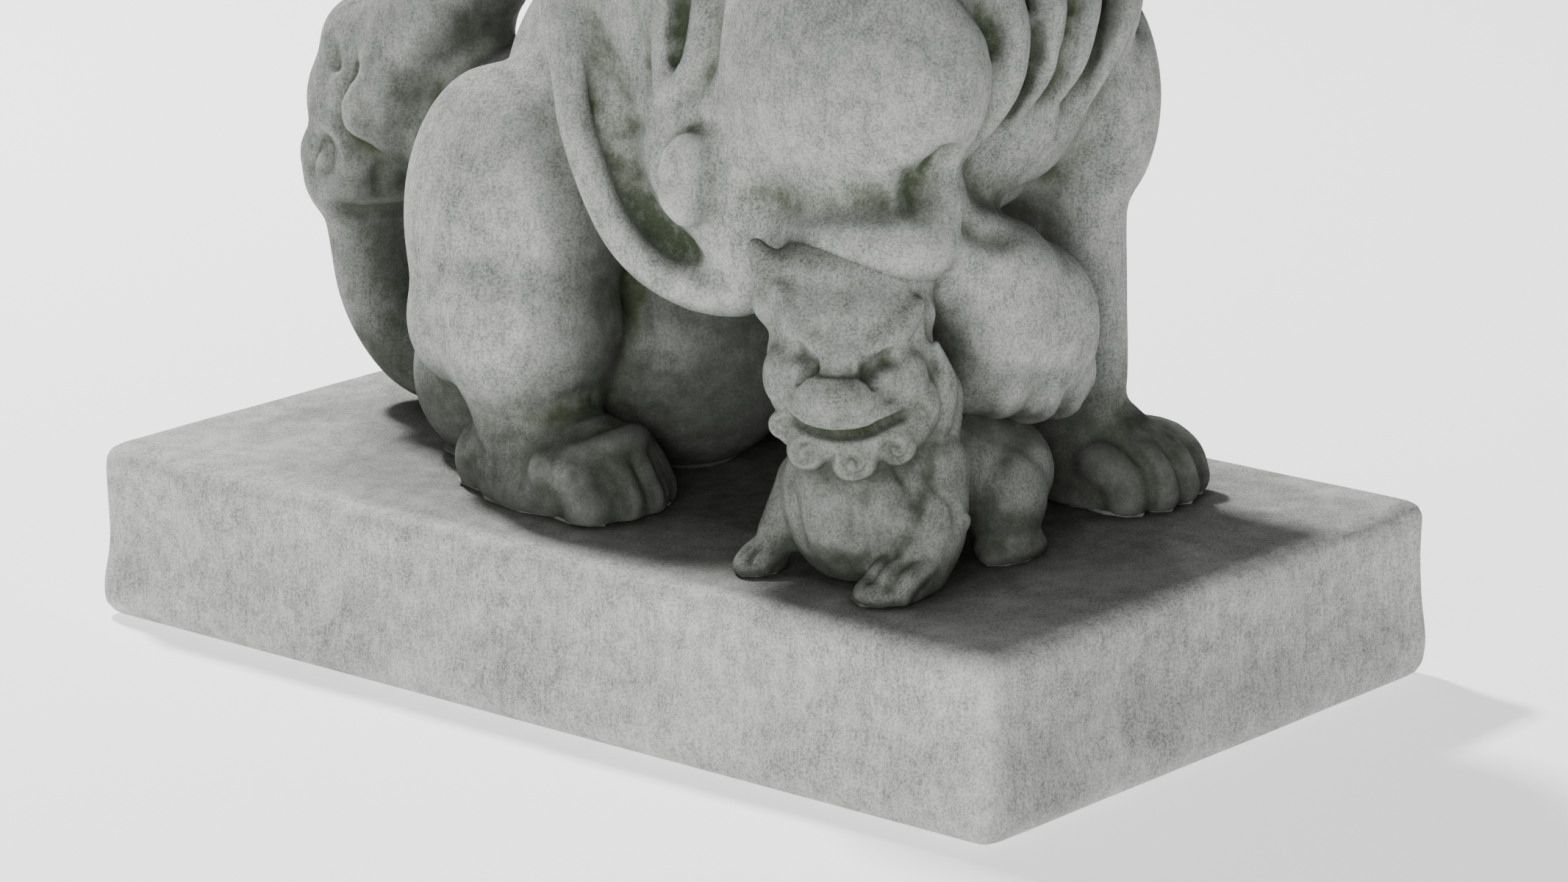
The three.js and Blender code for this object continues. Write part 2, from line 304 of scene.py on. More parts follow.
class Chisel:
    """Moves a skin's surface in and out along lines laid on it."""

    def __init__(self, piece: bpy.types.Object) -> None:
        """Takes hold of a skin.

        Args:
            piece: the mesh object to work on.
        """
        self.mesh = piece.data
        count = len(self.mesh.vertices)
        self.at = np.empty(count * 3)
        self.mesh.vertices.foreach_get("co", self.at)
        self.at = self.at.reshape(-1, 3)
        self.normal = np.empty(count * 3)
        self.mesh.vertices.foreach_get("normal", self.normal)
        self.normal = self.normal.reshape(-1, 3)
        self.move = np.zeros(count)
        self.tree = BVHTree.FromObject(piece, bpy.context.evaluated_depsgraph_get())

    def stroke(self, path: Path, width: float, depth: float, taper: bool = True, steps: int = 8) -> None:
        """Cuts a groove, or raises a ridge if the depth is negative.

        Args:
            path: points near the surface, which the line is laid on.
            width: half of the groove's width.
            depth: how deep it goes.
            taper: whether it runs out to nothing at its ends.
            steps: how finely each stretch is bent.
        """
        line = to_frame(smooth_path(path, steps))
        laid = np.array([self.tree.find_nearest(Vector(p))[0] for p in line])
        reach = STROKE_REACH * width * MM
        inside = (self.at > laid.min(0) - reach) & (self.at < laid.max(0) + reach)
        near = np.nonzero(np.all(inside, axis=1))[0]
        if len(near) == 0:
            return
        gap = np.full(len(near), np.inf)
        along = np.zeros(len(near))
        for i, (a, b) in enumerate(zip(laid[:-1], laid[1:])):
            step = b - a
            length = max(step @ step, 1e-12)
            t = np.clip((self.at[near] - a) @ step / length, 0, 1)
            d = np.linalg.norm(self.at[near] - a - t[:, None] * step, axis=1)
            closer = d < gap
            gap[closer] = d[closer]
            along[closer] = (i + t[closer]) / (len(laid) - 1)
        shape = np.exp(-((gap / (width * MM)) ** 2))
        if taper:
            shape *= np.clip(np.minimum(along, 1 - along) * TAPER_RATE, TAPER_LEFT, 1)
        self.move[near] -= depth * MM * shape

    def done(self) -> None:
        """Lets the moves take effect."""
        self.mesh.vertices.foreach_set("co", (self.at + self.normal * self.move[:, None]).ravel())
        self.mesh.update()


def spread(mesh: bpy.types.Mesh, values: np.ndarray, passes: int) -> np.ndarray:
    """Averages values at a mesh's vertices with their neighbours'.

    Args:
        mesh: the mesh.
        values: one value a vertex.
        passes: how many times they are averaged.

    Returns:
        The softened values.
    """
    count = len(mesh.vertices)
    edges = np.empty(len(mesh.edges) * 2, dtype=np.int64)
    mesh.edges.foreach_get("vertices", edges)
    a, b = edges.reshape(-1, 2).T
    degree = np.maximum(np.bincount(a, minlength=count) + np.bincount(b, minlength=count), 1)
    soft = values.copy()
    for _ in range(passes):
        total = np.bincount(a, soft[b], count) + np.bincount(b, soft[a], count)
        soft = 0.5 * soft + 0.5 * total / degree
    return soft


def measured(piece: bpy.types.Object, passes: int) -> np.ndarray:
    """How far each vertex lies below its smoothed surroundings, in millimetres.

    Args:
        piece: the skin.
        passes: how far round each vertex counts as its surroundings.

    Returns:
        One value a vertex: positive in a hollow, negative on a ridge.
    """
    mesh = piece.data
    count = len(mesh.vertices)
    at = np.empty(count * 3)
    mesh.vertices.foreach_get("co", at)
    at = at.reshape(-1, 3)
    normal = np.empty(count * 3)
    mesh.vertices.foreach_get("normal", normal)
    soft = np.column_stack([spread(mesh, at[:, axis], passes) for axis in range(3)])
    return ((soft - at) * normal.reshape(-1, 3)).sum(1) / MM


def note_hollows(piece: bpy.types.Object) -> None:
    """Writes on a skin where it is hollow and where it is proud, for the stone finishes to read.

    Args:
        piece: the skin.
    """
    fine = measured(piece, FINE_PASSES)
    broad = measured(piece, BROAD_PASSES)
    for name, values in (("hollow_fine", fine), ("hollow_broad", broad)):
        kept = piece.data.attributes.new(name, "FLOAT", "POINT")
        kept.data.foreach_set("value", values.astype(np.float32))


def directions(count: int) -> np.ndarray:
    """Directions spread evenly all round.

    Args:
        count: how many.

    Returns:
        One direction a row, each of length one.
    """
    i = np.arange(count) + 0.5
    height = 1 - 2 * i / count
    angle = math.pi * (1 + math.sqrt(5)) * i
    flat = np.sqrt(1 - height**2)
    return np.column_stack([flat * np.cos(angle), flat * np.sin(angle), height])


def note_painted_shade(pieces: list[bpy.types.Object], reach: float = 450.0, rays: int = 44) -> None:
    """Writes on each skin how far its neighbours block the sky and the key lamp from it, for painted
    shade.

    Args:
        pieces: the skins that stand together.
        reach: how far away something still casts painted shade.
        rays: how many directions are tried round each vertex.
    """
    points, faces, start = [], [], 0
    for piece in pieces:
        points += [v.co[:] for v in piece.data.vertices]
        faces += [[start + i for i in face.vertices] for face in piece.data.polygons]
        start = len(points)
    tree = BVHTree.FromPolygons(points, faces)
    ways = directions(rays)
    worth = OFF_KEY_WORTH + np.clip(ways @ np.array(KEY_LAMP_WAY), 0, 1)
    vectors = [Vector(way) for way in ways]
    for piece in pieces:
        mesh = piece.data
        count = len(mesh.vertices)
        at, normal = np.empty(count * 3), np.empty(count * 3)
        mesh.vertices.foreach_get("co", at)
        mesh.vertices.foreach_get("normal", normal)
        at, normal = at.reshape(-1, 3), normal.reshape(-1, 3)
        facing = normal @ ways.T
        weight = np.where(facing > GRAZING, facing * worth, 0)
        begin = at + normal * OFF_SKIN
        blocked = np.zeros(count)
        for i in range(count):
            origin = Vector(begin[i])
            for j in np.nonzero(weight[i])[0]:
                if tree.ray_cast(origin, vectors[j], reach * MM)[0] is not None:
                    blocked[i] += weight[i, j]
        share = blocked / np.maximum(weight.sum(1), 1e-6)
        # painted shade: the share of sky and key lamp blocked here, by which the stone is darkened
        kept = mesh.attributes.new("painted_shade_cover", "FLOAT", "POINT")
        kept.data.foreach_set("value", spread(mesh, share, 4).astype(np.float32))


# ------------------------------------------------------------------------------------- finishes


@dataclass(frozen=True)
class Stone:
    """A cast-stone finish: cloudy grey with a fine dark speckle, growth with painted shade in its hollows,
    and painted shade where neighbours block light.
    """

    name: str
    light: Point
    dark: Point
    speckle: float
    # the next three set how much growth and painted shade the stone takes, how much painted shade darkens
    # low, rear and high places, and how far up from the plinth the low shade reaches
    growth_and_shade: float
    painted_shade: float = 0.0
    shade_height: float = 0.12
    streak: float = 1.0
    bump: float = 0.35
    bump_depth: float = 0.0006

    def make(self) -> bpy.types.Material:
        """Builds the material.

        Returns:
            The material, ready to dress a piece with.
        """
        material = bpy.data.materials.new(self.name)
        material.use_nodes = True
        tree = material.node_tree
        nodes, links = tree.nodes, tree.links
        bsdf = nodes["Principled BSDF"]
        grain = nodes.new("ShaderNodeGroup")
        grain.node_tree = stone_grain()
        grain.inputs["Light"].default_value = (*self.light, 1)
        grain.inputs["Dark"].default_value = (*self.dark, 1)
        grain.inputs["Speckle"].default_value = self.speckle
        grain.inputs["Streak"].default_value = self.streak
        # the second group adds painted shade, and growth with painted shade in the hollows
        growth_and_shade = nodes.new("ShaderNodeGroup")
        growth_and_shade.node_tree = growth_and_painted_shade()
        growth_and_shade.inputs["Amount"].default_value = self.growth_and_shade
        growth_and_shade.inputs["Painted Shade"].default_value = self.painted_shade
        growth_and_shade.inputs["Shade Height"].default_value = self.shade_height
        links.new(grain.outputs["Color"], growth_and_shade.inputs["Stone"])
        links.new(growth_and_shade.outputs["Color"], bsdf.inputs["Base Color"])
        links.new(grain.outputs["Roughness"], bsdf.inputs["Roughness"])
        bump = nodes.new("ShaderNodeBump")
        bump.inputs["Strength"].default_value = self.bump
        bump.inputs["Distance"].default_value = self.bump_depth
        links.new(grain.outputs["Height"], bump.inputs["Height"])
        links.new(bump.outputs["Normal"], bsdf.inputs["Normal"])
        bsdf.inputs["Specular IOR Level"].default_value = 0.3
        return material


def group(name: str, inputs: dict[str, tuple[str, object]], outputs: dict[str, str]) -> bpy.types.NodeTree:
    """Starts a shader node group with its sockets.

    Args:
        name: the group's name.
        inputs: socket name to its type and default value.
        outputs: socket name to its type.

    Returns:
        The group's tree, with "Group Input" and "Group Output" nodes in it.
    """
    tree = bpy.data.node_groups.new(name, "ShaderNodeTree")
    for label, (kind, value) in inputs.items():
        tree.interface.new_socket(label, in_out="INPUT", socket_type=kind).default_value = value
    for label, kind in outputs.items():
        tree.interface.new_socket(label, in_out="OUTPUT", socket_type=kind)
    tree.nodes.new("NodeGroupInput")
    tree.nodes.new("NodeGroupOutput")
    return tree


class Wires:
    """Short ways to place and join nodes in a tree."""

    def __init__(self, tree: bpy.types.NodeTree) -> None:
        """Takes the tree to work in.

        Args:
            tree: the group's tree.
        """
        self.tree = tree
        self.source = tree.nodes["Group Input"].outputs
        self.sink = tree.nodes["Group Output"].inputs
        self.place = tree.nodes.new("ShaderNodeTexCoord").outputs["Object"]

    def join(self, a: bpy.types.NodeSocket, b: bpy.types.NodeSocket) -> None:
        """Joins an output to an input."""
        self.tree.links.new(a, b)

    def _set(self, socket: bpy.types.NodeSocket, value: object) -> None:
        """Joins a socket to a source, or gives it a plain value.

        Args:
            socket: the input to fill.
            value: a socket, a number or a colour.
        """
        if isinstance(value, bpy.types.NodeSocket):
            self.join(value, socket)
        else:
            socket.default_value = value

    def noise(
        self, scale: float, detail: float = 2, stretch: Point = (1, 1, 1), roughness: float = 0.5
    ) -> bpy.types.NodeSocket:
        """Places a noise texture on the piece's own coordinates.

        Args:
            scale: how many features fit in a metre.
            detail: how many finer layers it has.
            stretch: the scale along each axis.
            roughness: how strong the finer layers are.

        Returns:
            The noise value.
        """
        mapping = self.tree.nodes.new("ShaderNodeMapping")
        mapping.inputs["Scale"].default_value = stretch
        self.join(self.place, mapping.inputs["Vector"])
        node = self.tree.nodes.new("ShaderNodeTexNoise")
        node.inputs["Scale"].default_value = scale
        node.inputs["Detail"].default_value = detail
        node.inputs["Roughness"].default_value = roughness
        self.join(mapping.outputs["Vector"], node.inputs["Vector"])
        return node.outputs["Fac"]

    def between(
        self, value: object, low: float, high: float, to_low: float = 0, to_high: float = 1
    ) -> bpy.types.NodeSocket:
        """Stretches a value's range onto another and clamps it.

        Args:
            value: what to stretch.
            low: the value that becomes to_low.
            high: the value that becomes to_high.
            to_low: the start of the new range.
            to_high: the end of the new range.

        Returns:
            The stretched value.
        """
        node = self.tree.nodes.new("ShaderNodeMapRange")
        self._set(node.inputs["Value"], value)
        for socket, number in zip(
            ("From Min", "From Max", "To Min", "To Max"), (low, high, to_low, to_high)
        ):
            node.inputs[socket].default_value = number
        return node.outputs["Result"]

    def sum(self, kind: str, a: object, b: object) -> bpy.types.NodeSocket:
        """Joins two values with one piece of arithmetic.

        Args:
            kind: the operation, such as "MULTIPLY".
            a: the first value.
            b: the second value.

        Returns:
            The result.
        """
        node = self.tree.nodes.new("ShaderNodeMath")
        node.operation = kind
        self._set(node.inputs[0], a)
        self._set(node.inputs[1], b)
        return node.outputs[0]

    def mix(self, share: object, a: object, b: object) -> bpy.types.NodeSocket:
        """Mixes two colours.

        Args:
            share: how much of the second colour is taken.
            a: the first colour.
            b: the second colour.

        Returns:
            The mixed colour.
        """
        node = self.tree.nodes.new("ShaderNodeMix")
        node.data_type = "RGBA"
        self._set(node.inputs["Factor"], share)
        self._set(node.inputs["A"], a)
        self._set(node.inputs["B"], b)
        return node.outputs["Result"]

    def attribute(self, name: str) -> bpy.types.NodeSocket:
        """Reads a value that was written on the piece.

        Args:
            name: what it was written as.

        Returns:
            The value.
        """
        node = self.tree.nodes.new("ShaderNodeAttribute")
        node.attribute_name = name
        return node.outputs["Fac"]


def stone_grain() -> bpy.types.NodeTree:
    """Builds the grain that every stone here shares: clouds, fine streaks and a dark speckle.

    Returns:
        The group, made the first time it is asked for.
    """
    if "stone_grain" in bpy.data.node_groups:
        return bpy.data.node_groups["stone_grain"]
    tree = group(
        "stone_grain",
        {
            "Light": ("NodeSocketColor", (0.6, 0.6, 0.6, 1)),
            "Dark": ("NodeSocketColor", (0.2, 0.2, 0.2, 1)),
            "Speckle": ("NodeSocketFloat", 0.5),
            "Streak": ("NodeSocketFloat", 1.0),
        },
        {"Color": "NodeSocketColor", "Roughness": "NodeSocketFloat", "Height": "NodeSocketFloat"},
    )
    w = Wires(tree)
    cloud = w.between(w.noise(9, 3), 0.3, 0.7)
    mottle = w.between(w.noise(55, 3), 0.32, 0.68)
    speck = w.between(w.noise(520, 2, roughness=0.6), 0.42, 0.62)
    streak = w.between(w.noise(260, 2, stretch=(1, 1, 0.28)), 0.35, 0.68)
    streaks = w.sum("MULTIPLY", w.sum("MULTIPLY", streak, w.source["Streak"]), 0.3)
    fine = w.sum("ADD", w.sum("MULTIPLY", speck, 0.55), streaks)
    tone = w.sum("ADD", w.sum("MULTIPLY", cloud, 0.24), w.sum("MULTIPLY", mottle, 0.3))
    share = w.sum("ADD", tone, w.sum("MULTIPLY", fine, w.source["Speckle"]))
    w.join(w.mix(w.between(share, 0.0, 1.0), w.source["Light"], w.source["Dark"]), w.sink["Color"])
    w.join(w.between(speck, 0, 1, 0.72, 0.9), w.sink["Roughness"])
    w.join(w.between(fine, 0, 1, 1, 0), w.sink["Height"])
    return tree


def growth_and_painted_shade() -> bpy.types.NodeTree:
    """Builds painted shade where neighbours block light and on low, rear and high places, and green-black
    growth with painted shade, thick in deep hollows and thin on what stands proud.

    Returns:
        The group, made the first time it is asked for.
    """
    if "growth_and_painted_shade" in bpy.data.node_groups:
        return bpy.data.node_groups["growth_and_painted_shade"]
    tree = group(
        "growth_and_painted_shade",
        {
            "Stone": ("NodeSocketColor", (0.5, 0.5, 0.5, 1)),
            "Amount": ("NodeSocketFloat", 1.0),
            "Painted Shade": ("NodeSocketFloat", 0.0),
            "Shade Height": ("NodeSocketFloat", 0.12),
        },
        {"Color": "NodeSocketColor"},
    )
    w = Wires(tree)
    ragged = w.between(w.noise(70, 4, roughness=0.6), 0.28, 0.72, 0.55, 1.3)
    fine = w.between(w.attribute("hollow_fine"), 0.1, 2.6)
    broad = w.between(w.attribute("hollow_broad"), 1.5, 15)
    hollow = w.sum("ADD", w.sum("MULTIPLY", fine, 0.6), w.sum("MULTIPLY", broad, 0.7))
    deep = w.sum("MULTIPLY", hollow, ragged)
    # painted shade: darker low down near the plinth, towards the back and high up
    axes = tree.nodes.new("ShaderNodeSeparateXYZ")
    w.join(w.place, axes.inputs["Vector"])
    height = w.sum("SUBTRACT", axes.outputs["Z"], DATUM.z)
    near_plinth = w.between(w.sum("DIVIDE", height, w.source["Shade Height"]), 1.0, 0.45)
    rearward = w.sum("MULTIPLY", w.between(axes.outputs["Y"], 0.18, 0.34), 0.5)
    lofty = w.sum("MULTIPLY", w.between(axes.outputs["Z"], DATUM.z + 0.24, DATUM.z + 0.42), 0.3)
    shade_by_place = w.sum("MAXIMUM", w.sum("MAXIMUM", near_plinth, rearward), lofty)
    patchy = w.sum("MULTIPLY", shade_by_place, w.between(ragged, 0.5, 1.3, 0.8, 1.05))
    painted_shade = w.sum("MULTIPLY", patchy, w.source["Painted Shade"])
    # painted shade where neighbours block the sky and the key lamp
    cover = w.between(w.attribute("painted_shade_cover"), 0.16, 0.8)
    shade = w.sum("MINIMUM", w.sum("ADD", cover, painted_shade), 1.0)
    blotched = w.sum("MULTIPLY", w.sum("POWER", shade, 0.8), w.between(ragged, 0.5, 1.3, 0.85, 1.08))
    shade_share = w.sum("MULTIPLY", blotched, 0.9)
    # the painted shade colour is mixed into the stone here
    shaded = w.mix(w.sum("MULTIPLY", shade_share, w.source["Amount"]), w.source["Stone"], PAINTED_SHADE_COLOUR)
    # growth in hollows, partly painted shade that darkens creases and broad hollows
    share = w.sum("MINIMUM", w.sum("MULTIPLY", deep, w.source["Amount"]), 1.0)
    film_and_shade = w.sum("MULTIPLY", w.between(share, 0.0, 0.6), 0.5)
    olive = w.mix(film_and_shade, shaded, OLIVE_FILM_AND_SHADE)
    thick = w.sum("MULTIPLY", w.between(share, 0.42, 0.95), 0.85)
    grown_and_shaded = w.mix(thick, olive, BLACK_GROWTH_AND_SHADE)
    proud = w.sum("MULTIPLY", w.between(w.attribute("hollow_fine"), -0.6, -3.2), 0.22)
    w.join(w.mix(proud, grown_and_shaded, RUBBED_STONE), w.sink["Color"])
    return tree


@dataclass(frozen=True)
class Steel:
    """Drawn stainless bar."""

    name: str = "drawn_stainless"
    dark: Colour = (0.5, 0.51, 0.52, 1)
    light: Colour = (0.62, 0.63, 0.64, 1)
    grain: float = 900.0
    roughness: float = 0.38

    def make(self) -> bpy.types.Material:
        """Builds the material.

        Returns:
            The material, ready to dress a piece with.
        """
        material = bpy.data.materials.new(self.name)
        material.use_nodes = True
        tree = material.node_tree
        bsdf = tree.nodes["Principled BSDF"]
        bsdf.inputs["Metallic"].default_value = 1
        noise = tree.nodes.new("ShaderNodeTexNoise")
        noise.inputs["Scale"].default_value = self.grain
        coordinate = tree.nodes.new("ShaderNodeTexCoord")
        tree.links.new(coordinate.outputs["Object"], noise.inputs["Vector"])
        ramp = tree.nodes.new("ShaderNodeMix")
        ramp.data_type = "RGBA"
        ramp.inputs["A"].default_value = self.dark
        ramp.inputs["B"].default_value = self.light
        tree.links.new(noise.outputs["Fac"], ramp.inputs["Factor"])
        tree.links.new(ramp.outputs["Result"], bsdf.inputs["Base Color"])
        bsdf.inputs["Roughness"].default_value = self.roughness
        return material


# the lioness and cub get painted shade low down, at the rear and high up; the slab and mortar do not
LION_STONE = Stone("rubbed_cast_stone", (0.50, 0.515, 0.49), (0.115, 0.125, 0.113), 0.7, 1.0, painted_shade=0.95)
CUB_STONE = Stone(
    "rubbed_cast_stone_cub",
    (0.43, 0.445, 0.42),
    (0.105, 0.115, 0.10),
    0.68,
    1.0,
    painted_shade=0.5,
    shade_height=0.27,
)
PLINTH_STONE = Stone("tooled_cast_stone", (0.55, 0.555, 0.53), (0.17, 0.175, 0.165), 0.75, 1.0)
MORTAR = Stone("bedding_mortar", (0.26, 0.265, 0.245), (0.12, 0.125, 0.11), 0.4, 0.1)


def dress(piece: bpy.types.Object, material: bpy.types.Material) -> None:
    """Gives a piece one material all over."""
    piece.data.materials.clear()
    piece.data.materials.append(material)


def place(piece: bpy.types.Object, slot: str, *nodes: str) -> None:
    """Sets a finished piece on the statue in place of its CAD nodes.

    Args:
        piece: the finished skin.
        slot: its material slot; not used.
        nodes: the CAD nodes it stands in for.
    """
    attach(piece, "root")
    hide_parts(*nodes)
    LOG.info("%s: %d vertices", piece.name, len(piece.data.vertices))


# --------------------------------------------------------------------------------------- plinth


@dataclass
class Plinth:
    """The slab: hand-dressed sides that waver a little, round arrises and a flat foot."""

    arris: float = 16.0
    grain: float = 6.0
    waist: float = 3.5
    swell: float = 3.0
    corner_band: float = 22.0
    foot_band: float = 14.0
    top_band: float = 20.0

    def build(self) -> bpy.types.Object:
        """Makes and dresses the slab.

        Returns:
            The slab.
        """
        size = (PLINTH_HIGH - PLINTH_LOW) / MM
        only()
        bpy.ops.mesh.primitive_cube_add(size=1, location=(PLINTH_LOW + PLINTH_HIGH) / 2, scale=size * MM)
        slab = bpy.context.object
        slab.name = slab.data.name = "plinth_slab"
        bpy.ops.object.transform_apply(location=True, rotation=True, scale=True)
        bpy.ops.object.mode_set(mode="EDIT")
        bpy.ops.mesh.select_all(action="DESELECT")
        bpy.ops.object.mode_set(mode="OBJECT")
        for edge in slab.data.edges:
            a, b = (slab.data.vertices[i].co for i in edge.vertices)
            edge.select = (a + b).z / 2 > PLINTH_LOW.z + 0.01
        bpy.ops.object.mode_set(mode="EDIT")
        bpy.ops.mesh.select_mode(type="EDGE")
        bpy.ops.mesh.bevel(offset=self.arris * MM, segments=6, profile=0.5)
        bpy.ops.object.mode_set(mode="OBJECT")
        apply_modifier(slab, "REMESH", mode="VOXEL", voxel_size=self.grain * MM)
        apply_modifier(slab, "SMOOTH", factor=0.5, iterations=2)
        self._waver(slab, size)
        bpy.ops.object.shade_smooth()
        note_hollows(slab)
        dress(slab, PLINTH_STONE.make())
        place(slab, "plinth_stone", "plinth")
        return slab

    def _waver(self, slab: bpy.types.Object, size: Vector) -> None:
        """Draws the sides in at mid-height and lets the faces roll gently, as hand dressing does.

        Args:
            slab: the piece to work on.
            size: its size in millimetres.
        """
        mesh = slab.data
        at = np.empty(len(mesh.vertices) * 3)
        mesh.vertices.foreach_get("co", at)
        at = at.reshape(-1, 3)
        x, y, z = at.T / MM
        height = z / size.z
        waist = -self.waist * np.sin(np.pi * np.clip(height, 0, 1)) ** 2
        belly = waist + self.swell * np.exp(-(((height - 0.22) / 0.16) ** 2))
        roll = 1.3 * np.sin(x / 47 + 1.3 * np.sin(z / 31)) + 1.1 * np.sin(y / 61 + 2.0)
        roll += 0.8 * np.sin((x + y) / 23 + z / 19)
        band = self.corner_band
        side_x = np.clip((np.abs(x) - size.x / 2 + band) / band, 0, 1) * np.sign(x)
        side_y = np.clip((np.abs(y) - size.y / 2 + band) / band, 0, 1) * np.sign(y)
        low = np.clip(z / self.foot_band, 0, 1)
        at[:, 0] += side_x * (belly + roll) * low * MM
        at[:, 1] += side_y * (belly + roll) * low * MM
        top = np.clip((z - size.z + self.top_band) / self.top_band, 0, 1)
        at[:, 2] += top * (0.5 * np.sin(x / 53 + 1) * np.sin(y / 71)) * MM
        mesh.vertices.foreach_set("co", at.ravel())
        mesh.update()


# -------------------------------------------------------------------------------------- figures


class Region(Protocol):
    """A part of a figure, worked in three steps."""

    def lay(self, clay: Clay) -> None:
        """Lays its masses."""

    def model(self, clay: Clay) -> None:
        """Adds its features to the rough skin."""

    def carve(self, chisel: Chisel) -> None:
        """Cuts into the finished skin."""


def flatten_foot(skin: bpy.types.Object, lift: float = 2.0, left: float = 0.02) -> None:
    """Brings what sinks into the plinth up to the bedding joint, so that soles and haunches sit flat.

    Args:
        skin: the skin to flatten.
        lift: how far above the plinth's top the joint lies, in millimetres.
        left: the share of its sunk depth that a point keeps.
    """
    floor = DATUM.z + lift * MM
    for vertex in skin.data.vertices:
        if vertex.co.z < floor:
            vertex.co.z = floor - (floor - vertex.co.z) * left


@dataclass
class Figure:
    """A figure that is built up region by region, pressed into one skin and carved."""

    name: str
    rough_grain: float
    rough_softness: int
    grain: float
    softness: int
    triangle_budget: int = 190_000

    def sculpt(self, regions: Sequence[Region], stone: Stone) -> bpy.types.Object:
        """Takes the figure from bare board to dressed skin.

        Args:
            regions: its parts, in the order in which each step takes them.
            stone: the finish it gets.

        Returns:
            The skin.
        """
        clay = Clay(self.name)
        for region in regions:
            region.lay(clay)
        clay.take(clay.press(self.rough_grain, self.rough_softness))
        for region in regions:
            region.model(clay)
        skin = clay.press(self.grain, self.softness)
        chisel = Chisel(skin)
        for region in regions:
            region.carve(chisel)
        chisel.done()
        apply_modifier(skin, "SMOOTH", factor=0.5, iterations=1)
        skin.data.calc_loop_triangles()
        share = self.triangle_budget / len(skin.data.loop_triangles)
        if share < 1:
            apply_modifier(skin, "DECIMATE", ratio=share)
        flatten_foot(skin)
        bpy.ops.object.shade_smooth()
        note_hollows(skin)
        dress(skin, stone.make())
        return skin


# ------------------------------------------------------------------------------------- lioness


def snail(
    clay: Clay, eye: Point, facing: Point, radius: float, start: float, curl: Curl, turns: float = 1.35
) -> None:
    """Lays one snail curl of hair.

    Args:
        clay: the board to lay it on.
        eye: its centre, on the surface.
        facing: the way it looks.
        radius: its outer radius.
        start: degrees at which its outer end lies, counted from straight up.
        curl: which way it winds.
        turns: how many turns it makes.
    """
    path = spiral(eye, facing, radius, turns, start, curl, rise=0.35)
    clay.roll(path, [radius * share for share in SNAIL_SWELL], steps=2)


def lock(clay: Clay, path: Path, thick: float) -> None:
    """Lays one hanging lock of hair that swells and runs out to a point."""
    clay.roll(path, [thick * share for share in LOCK_SWELL])


@dataclass
class Trunk:
    """Belly, rump, pelvis, ribs, breast, withers and neck, with the mane's locks on the breast."""

    lock_thickness: float = 25.0
    breast_locks: tuple[tuple[float, Path], ...] = (
        (1, (
            (-96, -232, 560), (-88, -290, 490), (-76, -308, 440),
            (-70, -312, 400), (-80, -306, 362), (-94, -294, 330),
        )),
        (0.85, (
            (-24, -266, 560), (-22, -296, 490), (-22, -312, 445),
            (-24, -316, 410), (-32, -313, 378), (-47, -304, 348),
        )),
        (0.85, (
            (38, -262, 560), (32, -296, 490), (22, -312, 445),
            (8, -320, 410), (2, -316, 378), (-10, -306, 348),
        )),
        (1, (
            (108, -218, 560), (104, -274, 490), (92, -294, 440),
            (70, -304, 404), (52, -304, 372), (44, -296, 338),
        )),
        (0.9, (
            (146, -176, 550), (150, -232, 490), (142, -258, 440),
            (124, -276, 404), (106, -278, 372), (100, -270, 342),
        )),
    )

    def lay(self, clay: Clay) -> None:
        """Lays the big masses.

        Args:
            clay: the board that it is built on.
        """
        clay.ball((0, 76, 107), (110, 110, 114))
        clay.pair((90, 214, 70), (64, 62, 76))
        clay.ball((0, 246, 104), (76, 90, 94))
        clay.ball((0, 200, 190), (150, 130, 150))
        clay.ball((0, 60, 300), (150, 165, 160))
        clay.ball((0, -165, 378), (152, 150, 146))
        clay.ball((0, -25, 420), (135, 150, 130))
        clay.ball((0, -150, 500), (150, 140, 130))

    def model(self, clay: Clay) -> None:
        """Hangs the locks on the breast and a row of them down the spine.

        Args:
            clay: the board that it is built on.
        """
        thick = self.lock_thickness
        for share, path in self.breast_locks:
            lock(clay, path, thick * share)
        for height, back, side in ((470, 96, 60), (430, 120, 70), (470, 60, 110), (420, 74, 124)):
            for s in (-1, 1):
                lock(
                    clay,
                    [
                        (s * side * 0.62, back - 70, height + 112),
                        (s * side * 0.7, back - 24, height + 66),
                        (s * side * 0.85, back, height + 34),
                        (s * side, back + 8, height),
                        (s * (side + 6), back + 10, height - 30),
                        (s * (side - 4), back + 20, height - 58),
                    ],
                    thick * 0.9,
                )

    def carve(self, chisel: Chisel) -> None:
        """Cuts the deep folds between the breast's locks, and the spine.

        Args:
            chisel: the tool, already holding the pressed skin.
        """
        chisel.stroke([(-182, -293, 458), (-181, -307, 444), (-172, -324, 429), (-170, -330, 405)], 14, 4)
        chisel.stroke([(-128, -300, 478), (-120, -318, 450), (-104, -314, 420), (-98, -306, 395)], 12, 9)
        chisel.stroke(
            [(-46, -290, 470), (-47, -300, 425), (-45, -307, 385), (-56, -303, 360), (-66, -296, 330)],
            11,
            9,
        )
        chisel.stroke(
            [(4, -300, 470), (-2, -308, 430), (-8, -312, 395), (-16, -312, 370), (-28, -305, 345)], 9, 7
        )
        chisel.stroke(
            [(66, -286, 470), (54, -298, 430), (38, -308, 395), (24, -310, 362), (22, -300, 330)], 13, 15
        )
        chisel.stroke(
            [(126, -262, 470), (116, -278, 425), (98, -288, 390), (82, -286, 358), (78, -276, 330)], 11, 9
        )
        chisel.stroke([(166, -226, 460), (158, -248, 420), (146, -262, 388), (132, -262, 360)], 8, 8)
        chisel.stroke([(0, 150, 452), (0, 190, 400), (0, 232, 330)], 12, 6)
        chisel.stroke([(-60, -262, 268), (-10, -270, 266), (50, -262, 266), (90, -250, 280)], 12, 6)


